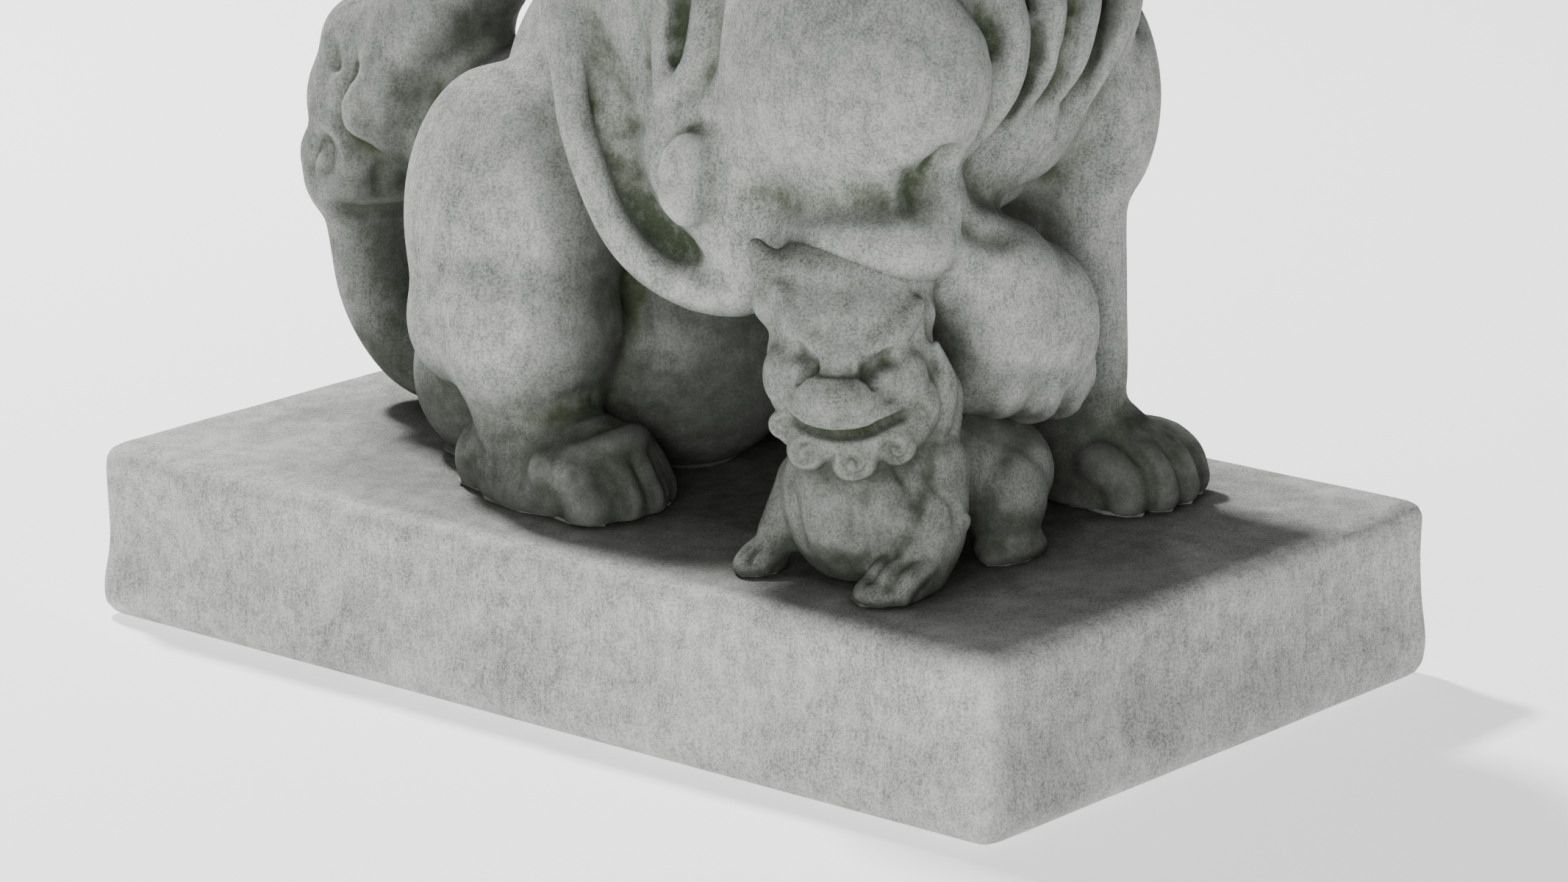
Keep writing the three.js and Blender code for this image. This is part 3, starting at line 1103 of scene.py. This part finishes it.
@dataclass
class Haunch:
    """A thigh, shin and hind foot.

    Args:
        side: -1 on her right, 1 on her left.
    """

    side: int

    def lay(self, clay: Clay) -> None:
        """Lays the thigh and shin.

        Args:
            clay: the board that it is built on.
        """
        s = self.side
        clay.ball((s * 140, 138, 205), (72, 101, 142), (-6, 0, 0))
        clay.roll([(s * 152, 108, 140), (s * 158, 98, 95), (s * 160, 92, 52)], [80, 64, 52])
        clay.ball((s * 150, 172, 134), (58, 56, 62))
        clay.ball((s * 162, 58, 12), (60, 92, 37))

    def model(self, clay: Clay) -> None:
        """Builds the foot: heel, a knuckle ridge and four toes.

        Args:
            clay: the board that it is built on.
        """
        s = self.side
        clay.roll([(s * 158, 134, 22), (s * 163, 90, 34), (s * 163, 40, 34)], [40, 48, 46])
        clay.roll(
            [(s * 200, 18, 48), (s * 174, 4, 54), (s * 146, 6, 54), (s * 124, 20, 48)], [15, 17, 17, 15]
        )
        for x, y, size in ((202, 12, 22), (176, 3, 23), (149, 3, 23), (124, 14, 22)):
            clay.roll([(s * x, y + 26, 36), (s * x, y + 2, 32), (s * x, y - 12, 12)], [size, size, size])

    def carve(self, chisel: Chisel) -> None:
        """Cuts the toes apart and the creases at the ankle and thigh.

        Args:
            chisel: the tool, already holding the pressed skin.
        """
        s = self.side
        for x in (189, 162, 136):
            chisel.stroke([(s * x, 2, 56), (s * x, -22, 40), (s * x, -34, 22), (s * x, -34, 4)], 4.5, 3)
        chisel.stroke(
            [
                (s * 214, 140, 62), (s * 212, 96, 70), (s * 196, 52, 80), (s * 150, 36, 84),
                (s * 118, 60, 84),
            ],
            13,
            6,
        )
        chisel.stroke([(s * 196, 28, 60), (s * 165, 18, 66), (s * 134, 24, 62)], 9, 4)
        chisel.stroke(
            [
                (s * 96, 84, 330), (s * 104, 46, 285), (s * 104, 40, 225), (s * 98, 46, 160),
                (s * 98, 56, 100),
            ],
            10,
            9,
        )
        chisel.stroke(
            [(s * 120, 200, 336), (s * 150, 232, 290), (s * 150, 250, 210), (s * 140, 244, 130)], 14, 7
        )


@dataclass
class StandingForeleg:
    """Her left foreleg: shoulder, elbow, leg and foot."""

    def lay(self, clay: Clay) -> None:
        """Lays the shoulder and leg.

        Args:
            clay: the board that it is built on.
        """
        clay.ball((136, -200, 325), (70, 100, 125))
        clay.ball((124, -182, 226), (50, 64, 62))
        clay.roll([(120, -226, 250), (121, -236, 150), (118, -240, 60)], [53, 47, 47])
        clay.ball((137, -266, 12), (64, 74, 34))

    def model(self, clay: Clay) -> None:
        """Builds the foot, its four toes and the fringe behind the elbow.

        Args:
            clay: the board that it is built on.
        """
        clay.roll([(120, -240, 44), (134, -262, 34), (138, -284, 28)], [46, 48, 40])
        clay.ball((137, -284, 26), (58, 46, 34))
        for x, y, size in ((94, -300, 20), (122, -310, 21), (152, -308, 21), (181, -298, 20)):
            clay.roll(
                [(x * 0.72 + 38, y + 44, 46), (x, y + 14, 38), (x, y - 6, 28), (x, y - 14, 13)],
                [size * 0.75, size, size, size * 0.9],
            )
        lock(
            clay,
            [(176, -96, 372), (188, -92, 320), (184, -98, 270), (168, -110, 226), (150, -128, 186)],
            17,
        )
        lock(
            clay,
            [(188, -128, 330), (190, -128, 286), (180, -138, 246), (166, -150, 214), (152, -160, 186)],
            13,
        )

    def carve(self, chisel: Chisel) -> None:
        """Cuts the toes apart and marks the muscles.

        Args:
            chisel: the tool, already holding the pressed skin.
        """
        for x, y in ((108, -318), (137, -324), (167, -318)):
            chisel.stroke(
                [(x * 0.8 + 26, y + 40, 60), (x, y + 14, 48), (x, y - 4, 30), (x, y - 4, 6)], 5, 3.5
            )
        chisel.stroke([(196, -150, 380), (203, -190, 300), (188, -240, 244), (150, -290, 240)], 13, 6)
        chisel.stroke([(80, -270, 84), (120, -292, 78), (160, -280, 84)], 12, 4)


@dataclass
class RaisedForeleg:
    """Her right foreleg: shoulder, elbow with its fringe, forearm and the paw held over the cub."""

    fringe: float = 28.0

    def lay(self, clay: Clay) -> None:
        """Lays the masses from the shoulder to the wrist.

        Args:
            clay: the board that it is built on.
        """
        clay.ball((-140, -215, 395), (78, 130, 112))
        clay.ball((-128, -32, 424), (70, 105, 112))
        clay.ball((-150, -104, 312), (55, 116, 122))
        clay.ball((-132, -226, 288), (62, 92, 62))
        clay.roll(
            [(-150, -128, 248), (-128, -200, 246), (-98, -258, 242), (-44, -282, 214)], [54, 56, 56, 54]
        )
        clay.ball((-152, -249, 264), (58, 77, 43))
        clay.ball((-4, -282, 168), (70, 58, 74))
        clay.ball((-66, -262, 152), (52, 50, 56))
        clay.ball((-56, -292, 184), (54, 48, 58))

    def model(self, clay: Clay) -> None:
        """Builds the fringe round the elbow, the strap of hair, the comma curl and the toes.

        Args:
            clay: the board that it is built on.
        """
        r = self.fringe
        clay.roll(
            [
                (-170, 58, 470),
                (-184, 32, 415),
                (-189, 14, 371),
                (-193, 2, 334),
                (-194, -14, 292),
                (-190, -36, 250),
                (-186, -64, 226),
                (-180, -98, 212),
                (-172, -132, 208),
                (-160, -168, 216),
            ],
            [r * 0.7, r * 0.95, r, r * 1.05, r, r, r, r * 0.95, r * 0.85, r * 0.6],
        )
        clay.roll([(-180, -68, 460), (-188, -72, 405), (-194, -73, 362)], [12, 13, 9])
        clay.roll(
            [(-176, -108, 460), (-186, -106, 407), (-192, -97, 381), (-196, -76, 360)], [12, 13, 12, 7]
        )
        clay.ball((-196, -108, 301), (29, 28, 43))
        for x, y, low in ((-54, -304, 128), (-18, -310, 118), (18, -308, 114), (44, -294, 118)):
            clay.roll([(x, y + 8, low + 30), (x, y + 2, low + 4), (x, y + 18, low - 4)], [24, 23, 20])

    def carve(self, chisel: Chisel) -> None:
        """Cuts what lies inside the fringe, the curls, the arm's creases and the toes.

        Args:
            chisel: the tool, already holding the pressed skin.
        """
        chisel.stroke(
            [
                (-186, 22, 430), (-196, -2, 372), (-200, -6, 331), (-200, -24, 300), (-199, -46, 268),
                (-196, -72, 244), (-190, -104, 230), (-182, -150, 230),
            ],
            14,
            14,
        )
        chisel.stroke([(-196, 10, 350), (-200, -14, 338), (-204, -40, 332), (-206, -66, 322)], 12, 5)
        chisel.stroke([(-190, -88, 455), (-196, -89, 405), (-202, -82, 376)], 7, 9)
        chisel.stroke([(-184, -44, 445), (-192, -48, 400), (-200, -58, 352)], 9, 5)
        chisel.stroke([(-182, -134, 445), (-192, -130, 405), (-201, -116, 374), (-205, -90, 348)], 8, 5)
        chisel.stroke(
            [
                (-206, -130, 342), (-208, -112, 342), (-210, -92, 328), (-210, -84, 306),
                (-209, -86, 284), (-207, -98, 266), (-203, -118, 256),
            ],
            9,
            13,
        )
        chisel.stroke([(-200, -116, 340), (-204, -110, 316), (-204, -108, 290), (-198, -114, 262)], 15, -9)
        chisel.stroke([(-212, -106, 322), (-213, -114, 312), (-213, -108, 298), (-212, -98, 300)], 4, 4)
        chisel.stroke(
            [
                (-204, -140, 300), (-194, -180, 292), (-180, -220, 286), (-166, -262, 294),
                (-154, -304, 318),
            ],
            15,
            8,
        )
        chisel.stroke([(-166, -280, 300), (-150, -308, 322), (-138, -328, 346)], 16, 17)
        chisel.stroke([(-120, -310, 286), (-90, -318, 268), (-56, -318, 262)], 13, 7)
        for x in (-36, 0, 32):
            chisel.stroke([(x, -338, 122), (x, -336, 108), (x, -326, 96), (x, -308, 90)], 5, 3)


@dataclass
class Tail:
    """A stem off the plinth, a cluster of curls and a plume against the back."""

    def lay(self, clay: Clay) -> None:
        """Lays the stem, curls and plume.

        Args:
            clay: the board that it is built on.
        """
        clay.roll([(-2, 296, 34), (-16, 360, 44), (-28, 396, 92), (-30, 408, 150)], [38, 37, 36, 36])
        clay.ball((-30, 404, 206), (66, 52, 58))
        clay.ball((-30, 396, 268), (66, 54, 62))
        clay.ball((-34, 352, 286), (66, 48, 74))
        clay.ball((-20, 322, 346), (68, 56, 66))
        clay.ball((-36, 388, 318), (54, 44, 44))
        clay.ball((-4, 290, 410), (56, 48, 72))
        clay.ball((0, 262, 492), (32, 32, 68))

    def model(self, clay: Clay) -> None:
        """Winds the curls round the cluster and lays the plume's flames.

        Args:
            clay: the board that it is built on.
        """
        snail(clay, (-68, 406, 222), (-1, -0.1, 0), 30, 200, Curl.COUNTER, 0.9)
        clay.ball((-70, 366, 276), (34, 34, 42))
        snail(clay, (26, 404, 226), (1, -0.1, 0), 36, 160, Curl.CLOCKWISE, 1.1)
        snail(clay, (22, 376, 288), (0.85, -0.5, 0.2), 40, -20, Curl.COUNTER, 1.1)
        snail(clay, (-24, 428, 262), (0, 1, 0.1), 34, 180, Curl.CLOCKWISE, 1.1)
        for s, x, y, low in (
            (-1, -34, 318, 350), (1, 16, 318, 350), (-1, -20, 286, 430), (1, 14, 286, 430)
        ):
            lock(
                clay,
                [
                    (x, y + 26, low - 34),
                    (x + s * 16, y + 26, low),
                    (x + s * 18, y + 10, low + 34),
                    (x + s * 6, y - 6, low + 66),
                    (x + s * 10, y - 20, low + 98),
                ],
                17,
            )

    def carve(self, chisel: Chisel) -> None:
        """Cuts between the curls and along the plume.

        Args:
            chisel: the tool, already holding the pressed skin.
        """
        chisel.stroke(
            [
                (-62, 364, 318), (-78, 362, 300), (-88, 372, 278), (-84, 374, 256), (-66, 364, 240),
                (-44, 355, 234),
            ],
            8,
            13,
        )
        chisel.stroke([(-78, 392, 330), (-90, 388, 312), (-92, 380, 296)], 7, 6)
        winding = spiral((-100, 402, 222), (-1, -0.2, 0), 26, 1.2, 160, Curl.COUNTER, 0.1)
        chisel.stroke(winding, 6, 8, steps=2)
        chisel.stroke(
            [(-90, 396, 178), (-72, 376, 172), (-42, 364, 172), (0, 366, 172), (30, 380, 176)], 8, 8
        )
        chisel.stroke([(-58, 362, 226), (-60, 364, 205), (-58, 366, 186)], 7, 5)
        chisel.stroke([(-2, 356, 330), (-6, 330, 392), (-2, 318, 450), (0, 292, 520)], 7, 8)
        chisel.stroke([(-24, 446, 120), (-24, 450, 150), (-24, 452, 176)], 8, 4)


@dataclass
class Head:
    """Skull, a plain guardian-lion face and a mane of snail curls."""

    mane_tiers: tuple[tuple[float, int, float], ...] = (
        (812, 3, 34),
        (756, 5, 38),
        (692, 6, 41),
        (622, 6, 43),
        (552, 6, 43),
    )
    mane_middle: float = 640.0
    mane_half_height: float = 210.0
    mane_reach: tuple[float, float] = (158.0, 132.0)
    mane_back: float = -150.0
    mane_sweep: float = 122.0

    def curls(self) -> list[tuple[Point, Point, float, float, Curl]]:
        """Places the mane's snail curls.

        Returns:
            The eye, facing, radius, start angle and winding of each.
        """
        found = []
        wide, deep = self.mane_reach
        for height, count, radius in self.mane_tiers:
            slope = (height - self.mane_middle) / self.mane_half_height
            reach = math.sqrt(1 - slope**2)
            for i in range(count):
                for s in (-1, 1):
                    angle = math.radians(4 + (i + 0.5) * self.mane_sweep / count)
                    facing = (s * math.sin(angle), math.cos(angle), slope * 0.7)
                    back = self.mane_back + math.cos(angle) * deep * reach
                    eye = (s * math.sin(angle) * wide * reach, back, height)
                    found.append((eye, facing, radius, 90.0 * s + 20 * i, Curl(s)))
        return found

    def lay(self, clay: Clay) -> None:
        """Lays the skull, jaws and mane.

        Args:
            clay: the board that it is built on.
        """
        clay.ball((0, -215, 705), (134, 130, 128))
        clay.ball((0, -176, 770), (128, 124, 96))
        clay.ball((0, -176, 858), (38, 38, 30))
        clay.ball((0, -286, 656), (122, 92, 84))
        clay.ball((0, -326, 586), (80, 70, 34))
        clay.ball((0, -332, 546), (54, 44, 42))
        clay.ball((0, -148, 620), (170, 112, 154))
        clay.ball((0, -88, 600), (138, 96, 172))

    def model(self, clay: Clay) -> None:
        """Builds the features and winds the mane.

        Args:
            clay: the board that it is built on.
        """
        clay.ball((0, -352, 708), (30, 42, 44))
        clay.ball((0, -394, 680), (44, 30, 26))
        clay.pair((30, -388, 672), (22, 22, 20))
        clay.pair((42, -364, 640), (50, 46, 34), (0, -14, 0))
        clay.pair((58, -354, 720), (26, 24, 25))
        for s in (-1, 1):
            clay.roll(
                [(s * 20, -372, 738), (s * 48, -376, 756), (s * 84, -350, 766), (s * 112, -310, 786)],
                [14, 19, 16, 8],
            )
            clay.roll([(s * 28, -370, 712), (s * 58, -380, 736), (s * 88, -352, 718)], [4, 6, 4])
            clay.roll([(s * 30, -372, 704), (s * 60, -378, 696), (s * 88, -350, 712)], [5, 7, 4])
            clay.roll(
                [(s * 6, -396, 618), (s * 44, -386, 610), (s * 78, -348, 612), (s * 92, -318, 634)],
                [9, 10, 10, 8],
            )
            clay.roll([(s * 4, -384, 582), (s * 42, -374, 580), (s * 74, -340, 588)], [11, 11, 9])
            clay.roll([(s * 130, -206, 742), (s * 156, -206, 782), (s * 150, -202, 820)], [30, 24, 6])
            snail(clay, (s * 104, -326, 662), (s * 0.75, -0.65, 0), 26, 0, Curl(-s))
            snail(clay, (s * 26, -378, 536), (s * 0.3, -0.95, 0), 22, 60 * s, Curl(-s))
            snail(clay, (s * 66, -350, 552), (s * 0.6, -0.8, 0), 20, 60 * s, Curl(-s))
        for eye, facing, radius, _, _ in self.curls():
            turn = math.degrees(math.atan2(facing[1], facing[0]))
            clay.ball(eye, (radius * 0.62, radius, radius), (0, 0, turn))

    def carve(self, chisel: Chisel) -> None:
        """Winds the mane's curls and cuts the mouth, nostrils and brows.

        Args:
            chisel: the tool, already holding the pressed skin.
        """
        for eye, facing, radius, start, curl in self.curls():
            front = tuple(Vector(eye) + Vector(facing).normalized() * radius * 0.6)
            chisel.stroke(spiral(front, facing, radius * 0.78, 1.6, start, curl, 0.1), 4.2, 6.5, steps=2)
        for s in (-1, 1):
            chisel.stroke(
                [(0, -406, 604), (s * 40, -398, 598), (s * 76, -356, 600), (s * 98, -322, 620)], 6, 10
            )
            chisel.stroke([(s * 14, -420, 672), (s * 26, -412, 668), (s * 38, -396, 668)], 5, 7)
            chisel.stroke(
                [(s * 26, -384, 724), (s * 46, -392, 742), (s * 72, -376, 744), (s * 96, -340, 734)], 5, 5
            )
            chisel.stroke([(s * 58, -384, 722), (s * 58, -386, 716)], 6, 5, taper=False)
        chisel.stroke([(0, -424, 662), (0, -414, 640), (0, -408, 612)], 4, 6)


@dataclass
class Lioness(Figure):
    """The whole guardian."""

    name: str = "lioness"
    rough_grain: float = 9.0
    rough_softness: int = 7
    grain: float = 4.5
    softness: int = 6

    def build(self) -> bpy.types.Object:
        """Builds her and dresses her.

        Returns:
            Her skin.
        """
        regions = [Trunk(), Haunch(-1), Haunch(1), StandingForeleg(), RaisedForeleg(), Tail(), Head()]
        skin = self.sculpt(regions, LION_STONE)
        place(
            skin,
            "lion_stone",
            "trunk",
            "head",
            "tail",
            "right_haunch",
            "left_haunch",
            "right_foreleg",
            "left_foreleg",
        )
        return skin


# ------------------------------------------------------------------------------------------- cub


@dataclass
class CubHead:
    """The cub's square head, set out across to its left, up, and out of its face."""

    middle: Point = (-184.0, -259.0, 176.0)
    out: Point = (-0.85, -0.53, 0.0)
    across: Point = (0.53, -0.85, 0.0)
    beard: tuple[tuple[Point, float, float, Curl], ...] = (
        ((-29, -62, 47), 17, -60, Curl.CLOCKWISE),
        ((7, -67, 50), 19, 60, Curl.COUNTER),
        ((38, -57, 44), 16, 60, Curl.COUNTER),
        ((-50, -46, 34), 12, -60, Curl.CLOCKWISE),
        ((57, -30, 28), 12, 60, Curl.COUNTER),
    )

    def at(self, across: float, up: float, out: float) -> Point:
        """Turns a place on the head into a point from the datum.

        Args:
            across: how far to the cub's left of the head's middle.
            up: how far above it.
            out: how far in front of it.

        Returns:
            The point.
        """
        sideways = Vector(self.across).normalized() * across
        outward = Vector(self.out).normalized() * out
        return tuple(Vector(self.middle) + sideways + Vector((0, 0, up)) + outward)

    def path(self, *places: Point) -> Path:
        """Several places on the head as points from the datum."""
        return [self.at(*spot) for spot in places]

    def lump(self, clay: Clay, spot: Point, half: Point) -> None:
        """Adds an egg of clay.

        Args:
            clay: the board that it is built on.
            spot: its middle, as a place on the head.
            half: its half sizes across, out and up.
        """
        sideways = Vector(self.across).normalized()
        turn = math.degrees(math.atan2(sideways.y, sideways.x))
        clay.ball(self.at(*spot), half, (0, 0, turn))

    def lay(self, clay: Clay) -> None:
        """Lays the cranium and jaw.

        Args:
            clay: the board that it is built on.
        """
        self.lump(clay, (-2, 2, 0), (66, 60, 50))
        self.lump(clay, (-3, -26, 6), (63, 54, 34))
        self.lump(clay, (-3, 34, -2), (66, 52, 42))
        self.lump(clay, (-4, 62, -16), (66, 50, 34))
        clay.roll(self.path((-56, 44, 2), (-66, 66, 0), (-78, 84, -8)), [24, 16, 8])

    def model(self, clay: Clay) -> None:
        """Builds the brow, cheeks, nose, lips and beard.

        Args:
            clay: the board that it is built on.
        """
        clay.roll(self.path((-54, 54, 22), (-40, 34, 32), (-18, 17, 41), (0, 10, 43)), [9, 14, 14, 13])
        clay.roll(self.path((50, 48, 20), (40, 36, 30), (20, 19, 41), (0, 10, 43)), [7, 13, 14, 13])
        self.lump(clay, (-6, -16, 53), (34, 23, 24))
        self.lump(clay, (-6, -14, 64), (24, 17, 16))
        self.lump(clay, (-50, -8, 28), (17, 20, 26))
        self.lump(clay, (44, -8, 30), (17, 20, 26))
        clay.roll(self.path((-8, -37, 62), (-28, -35, 55), (-42, -26, 44), (-52, -20, 30)), [6, 7, 7, 5])
        clay.roll(self.path((-8, -37, 62), (14, -36, 57), (32, -27, 50), (46, -24, 36)), [6, 7, 7, 5])
        clay.roll(
            self.path((-46, -36, 33), (-28, -50, 43), (2, -54, 46), (26, -50, 43), (46, -42, 33)),
            [7, 10, 11, 10, 7],
        )
        for spot, radius, _, _ in self.beard:
            self.lump(clay, spot, (radius, radius * 0.75, radius))
        self.lump(clay, (2, -50, 24), (60, 38, 26))
        self.lump(clay, (48, -30, 22), (22, 20, 28))
        clay.roll(self.path((64, 16, 14), (70, -14, 10), (66, -46, 8), (58, -70, 4)), [4, 11, 12, 6])
        clay.roll(self.path((70, -4, -6), (74, -28, -8), (70, -60, -8), (60, -86, -8)), [4, 10, 11, 6])

    def carve(self, chisel: Chisel) -> None:
        """Cuts the eyes, the mouth, the beard's eyes and the hollow of the ear.

        Args:
            chisel: the tool, already holding the pressed skin.
        """
        chisel.stroke(self.path((-47, 19, 44), (-34, 10, 52), (-19, 4, 58)), 7, 12)
        chisel.stroke(self.path((9, 4, 60), (25, 8, 56), (42, 15, 46)), 7, 12)
        chisel.stroke(self.path((-34, 6, 54), (-33, -3, 56), (-30, -12, 57)), 4.5, 6)
        chisel.stroke(self.path((22, 6, 58), (23, -3, 58), (21, -12, 58)), 4.5, 6)
        chisel.stroke(self.path((-22, 5, 60), (-6, 1, 62), (12, 5, 58)), 4.5, 6)
        mouth = self.path(
            (-50, -27, 38), (-40, -35, 48), (-24, -44, 58), (-4, -46, 62), (16, -43, 58), (30, -35, 52),
            (48, -31, 38),
        )
        chisel.stroke(mouth, 3.5, 9)
        outward, sideways = Vector(self.out).normalized(), Vector(self.across).normalized()
        for (across, up, out), radius, start, curl in self.beard:
            facing = tuple(outward + sideways * (across / 70) + Vector((0, 0, -0.2)))
            eye = self.at(across, up, out + radius * 0.7)
            chisel.stroke(spiral(eye, facing, radius * 0.72, 1.3, start, curl, 0.1), 2.4, 4.5, steps=2)
        chisel.stroke(self.path((62, 46, 12), (64, 28, 8), (70, 14, -2), (76, 4, -14)), 7, 8)


@dataclass
class CubBody:
    """The cub's round body, its legs and its feet."""

    def lay(self, clay: Clay) -> None:
        """Lays its round belly, rump and legs.

        Args:
            clay: the board that it is built on.
        """
        clay.ball((-164, -256, 62), (66, 68, 74))
        clay.ball((-95, -268, 78), (84, 50, 46))
        clay.ball((-36, -272, 58), (52, 56, 48))
        clay.roll([(-176, -212, 66), (-198, -199, 34), (-208, -196, 18)], [30, 19, 15])
        soles = ((-216, -192, 29, 19), (-210, -318, 37, 27), (-62, -222, 39, 20), (-62, -320, 39, 20))
        for x, y, long, wide in soles:
            clay.ball((x, y, 7), (long, wide, 15))
        clay.roll([(-150, -304, 90), (-168, -322, 46), (-184, -324, 22)], [34, 29, 25])
        clay.ball((-60, -310, 46), (40, 30, 42))
        clay.ball((-60, -230, 46), (40, 30, 42))
        clay.ball((-146, -262, 122), (54, 54, 60))
        clay.roll([(-140, -294, 124), (-146, -300, 100), (-150, -304, 72)], [26, 26, 26])

    def model(self, clay: Clay) -> None:
        """Builds the feet and toes.

        Args:
            clay: the board that it is built on.
        """
        for x, y, size in ((-222, -204, 8), (-228, -193, 8), (-222, -182, 7)):
            clay.roll([(x + 16, y, 18), (x, y, 12), (x - 4, y, 6)], [size, size, size * 0.8])
        for x, y, size in ((-218, -338, 10), (-224, -323, 11), (-218, -308, 10)):
            clay.roll([(x + 26, y, 26), (x + 4, y, 18), (x - 4, y, 8)], [size, size, size * 0.8])
        for y in (-232, -312):
            clay.roll([(-48, y, 14), (-84, y - 2, 12)], [17, 13])
        snail(clay, (-160, -342, 56), (-0.3, -1, 0), 12, 0, Curl.CLOCKWISE, 1.2)
        for reach in (0, 13, 26):
            clay.roll(
                [(-156 + reach, -304, 122), (-158 + reach, -318, 98), (-160 + reach * 0.6, -326, 70)],
                [6, 9, 5],
            )

    def carve(self, chisel: Chisel) -> None:
        """Cuts the toes and the soft folds of the belly.

        Args:
            chisel: the tool, already holding the pressed skin.
        """
        for y in (-198, -188):
            chisel.stroke([(-212, y, 24), (-228, y, 18), (-236, y, 6)], 2.5, 3)
        for y in (-330, -315):
            chisel.stroke([(-198, y, 34), (-220, y, 26), (-234, y, 8)], 3, 4)
        chisel.stroke([(-206, -216, 92), (-222, -232, 60), (-214, -240, 22)], 8, 5)
        chisel.stroke([(-216, -296, 92), (-226, -292, 62), (-214, -292, 30)], 9, 6)
        chisel.stroke([(-222, -268, 62), (-222, -270, 52), (-220, -268, 44)], 4, 3)
        chisel.stroke([(-196, -318, 66), (-188, -326, 86), (-178, -322, 104)], 7, 5)
        chisel.stroke([(-186, -306, 120), (-192, -310, 98), (-184, -320, 74), (-188, -326, 52)], 4, 3.5)
        chisel.stroke([(-166, -316, 118), (-174, -324, 92), (-166, -334, 66), (-170, -338, 48)], 4, 3.5)


@dataclass
class Cub(Figure):
    """The cub under her paw."""

    name: str = "cub_figure"
    rough_grain: float = 4.5
    rough_softness: int = 5
    grain: float = 2.2
    softness: int = 2

    def build(self) -> bpy.types.Object:
        """Builds the cub and dresses it.

        Returns:
            Its skin.
        """
        skin = self.sculpt([CubBody(), CubHead()], CUB_STONE)
        place(skin, "cub_stone", "cub")
        return skin


# -------------------------------------------------------------------------------- beds and dowels


def dress_hidden_work(nodes: dict[str, bpy.types.Object]) -> None:
    """Gives the mortar beds and the steel dowels their finishes.

    Args:
        nodes: the frame's nodes by name.
    """
    mortar = MORTAR.make()
    steel = Steel().make()
    for name, node in nodes.items():
        if name.endswith("_bed"):
            dress(node, mortar)
        elif name.endswith("_dowel"):
            dress(node, steel)


# --------------------------------------------------------------------------------------- studio


@dataclass
class Studio:
    """A pale floor, soft light from behind her right shoulder, and the camera."""

    azimuth: float = -49.88
    elevation: float = 15.25
    distance: float = 4.878
    target: Point = (0.0165, -0.0195, 0.1755)
    lens: float = 136.02
    sensor: float = 36.0
    floor_size: float = 60.0
    floor_grey: Colour = (0.93, 0.93, 0.93, 1)
    sky: float = 0.2
    lamps: tuple[tuple[str, Point, float, float], ...] = (
        ("key", (0.75, 3.6, 4.6), 0.6, 640),
        ("fill", (-4.4, -2.6, 1.2), 2.6, 170),
    )
    lamp_aim: Point = (0, 0, 0.3)

    def build(self) -> None:
        """Sets up the floor, world, lamps and camera."""
        only()
        bpy.ops.mesh.primitive_plane_add(size=self.floor_size, location=(0, 0, PLINTH_LOW.z))
        floor = bpy.context.object
        floor.name = "studio_floor"
        paint = bpy.data.materials.new("floor_paint")
        paint.use_nodes = True
        bsdf = paint.node_tree.nodes["Principled BSDF"]
        bsdf.inputs["Base Color"].default_value = self.floor_grey
        bsdf.inputs["Roughness"].default_value = 1
        bsdf.inputs["Emission Color"].default_value = (1, 1, 1, 1)
        bsdf.inputs["Emission Strength"].default_value = 1.0
        dress(floor, paint)
        world = bpy.data.worlds.new("studio")
        bpy.context.scene.world = world
        world.use_nodes = True
        background = world.node_tree.nodes["Background"]
        background.inputs["Color"].default_value = (1, 1, 1, 1)
        background.inputs["Strength"].default_value = self.sky
        for name, position, size, power in self.lamps:
            self._lamp(name, position, size, power)
        self._camera()

    def _lamp(self, name: str, position: Point, size: float, power: float) -> None:
        """Adds one soft lamp aimed at the statue.

        Args:
            name: what it is called.
            position: where it hangs, in metres.
            size: how wide it is.
            power: its power in watts.
        """
        only()
        bpy.ops.object.light_add(type="AREA", location=position)
        lamp = bpy.context.object
        lamp.name = name
        lamp.data.size = size
        lamp.data.energy = power
        lamp.rotation_euler = (Vector(self.lamp_aim) - lamp.location).to_track_quat("-Z", "Y").to_euler()

    def _camera(self) -> None:
        """Places the camera."""
        turn, rise = math.radians(self.azimuth), math.radians(self.elevation)
        back = Vector((math.sin(turn) * math.cos(rise), -math.cos(turn) * math.cos(rise), math.sin(rise)))
        only()
        bpy.ops.object.camera_add(location=Vector(self.target) + back * self.distance)
        camera = bpy.context.object
        camera.rotation_euler = (-back).to_track_quat("-Z", "Y").to_euler()
        camera.data.lens = self.lens
        camera.data.sensor_width = self.sensor
        bpy.context.scene.camera = camera


def main() -> None:
    """Builds everything in order."""
    logging.basicConfig(level=logging.INFO)
    Studio().build()
    # each piece's painted shade counts what the other pieces block
    note_painted_shade([Plinth().build(), Lioness().build(), Cub().build()])
    dress_hidden_work(frame["nodes"])


if __name__ == "__main__":
    main()
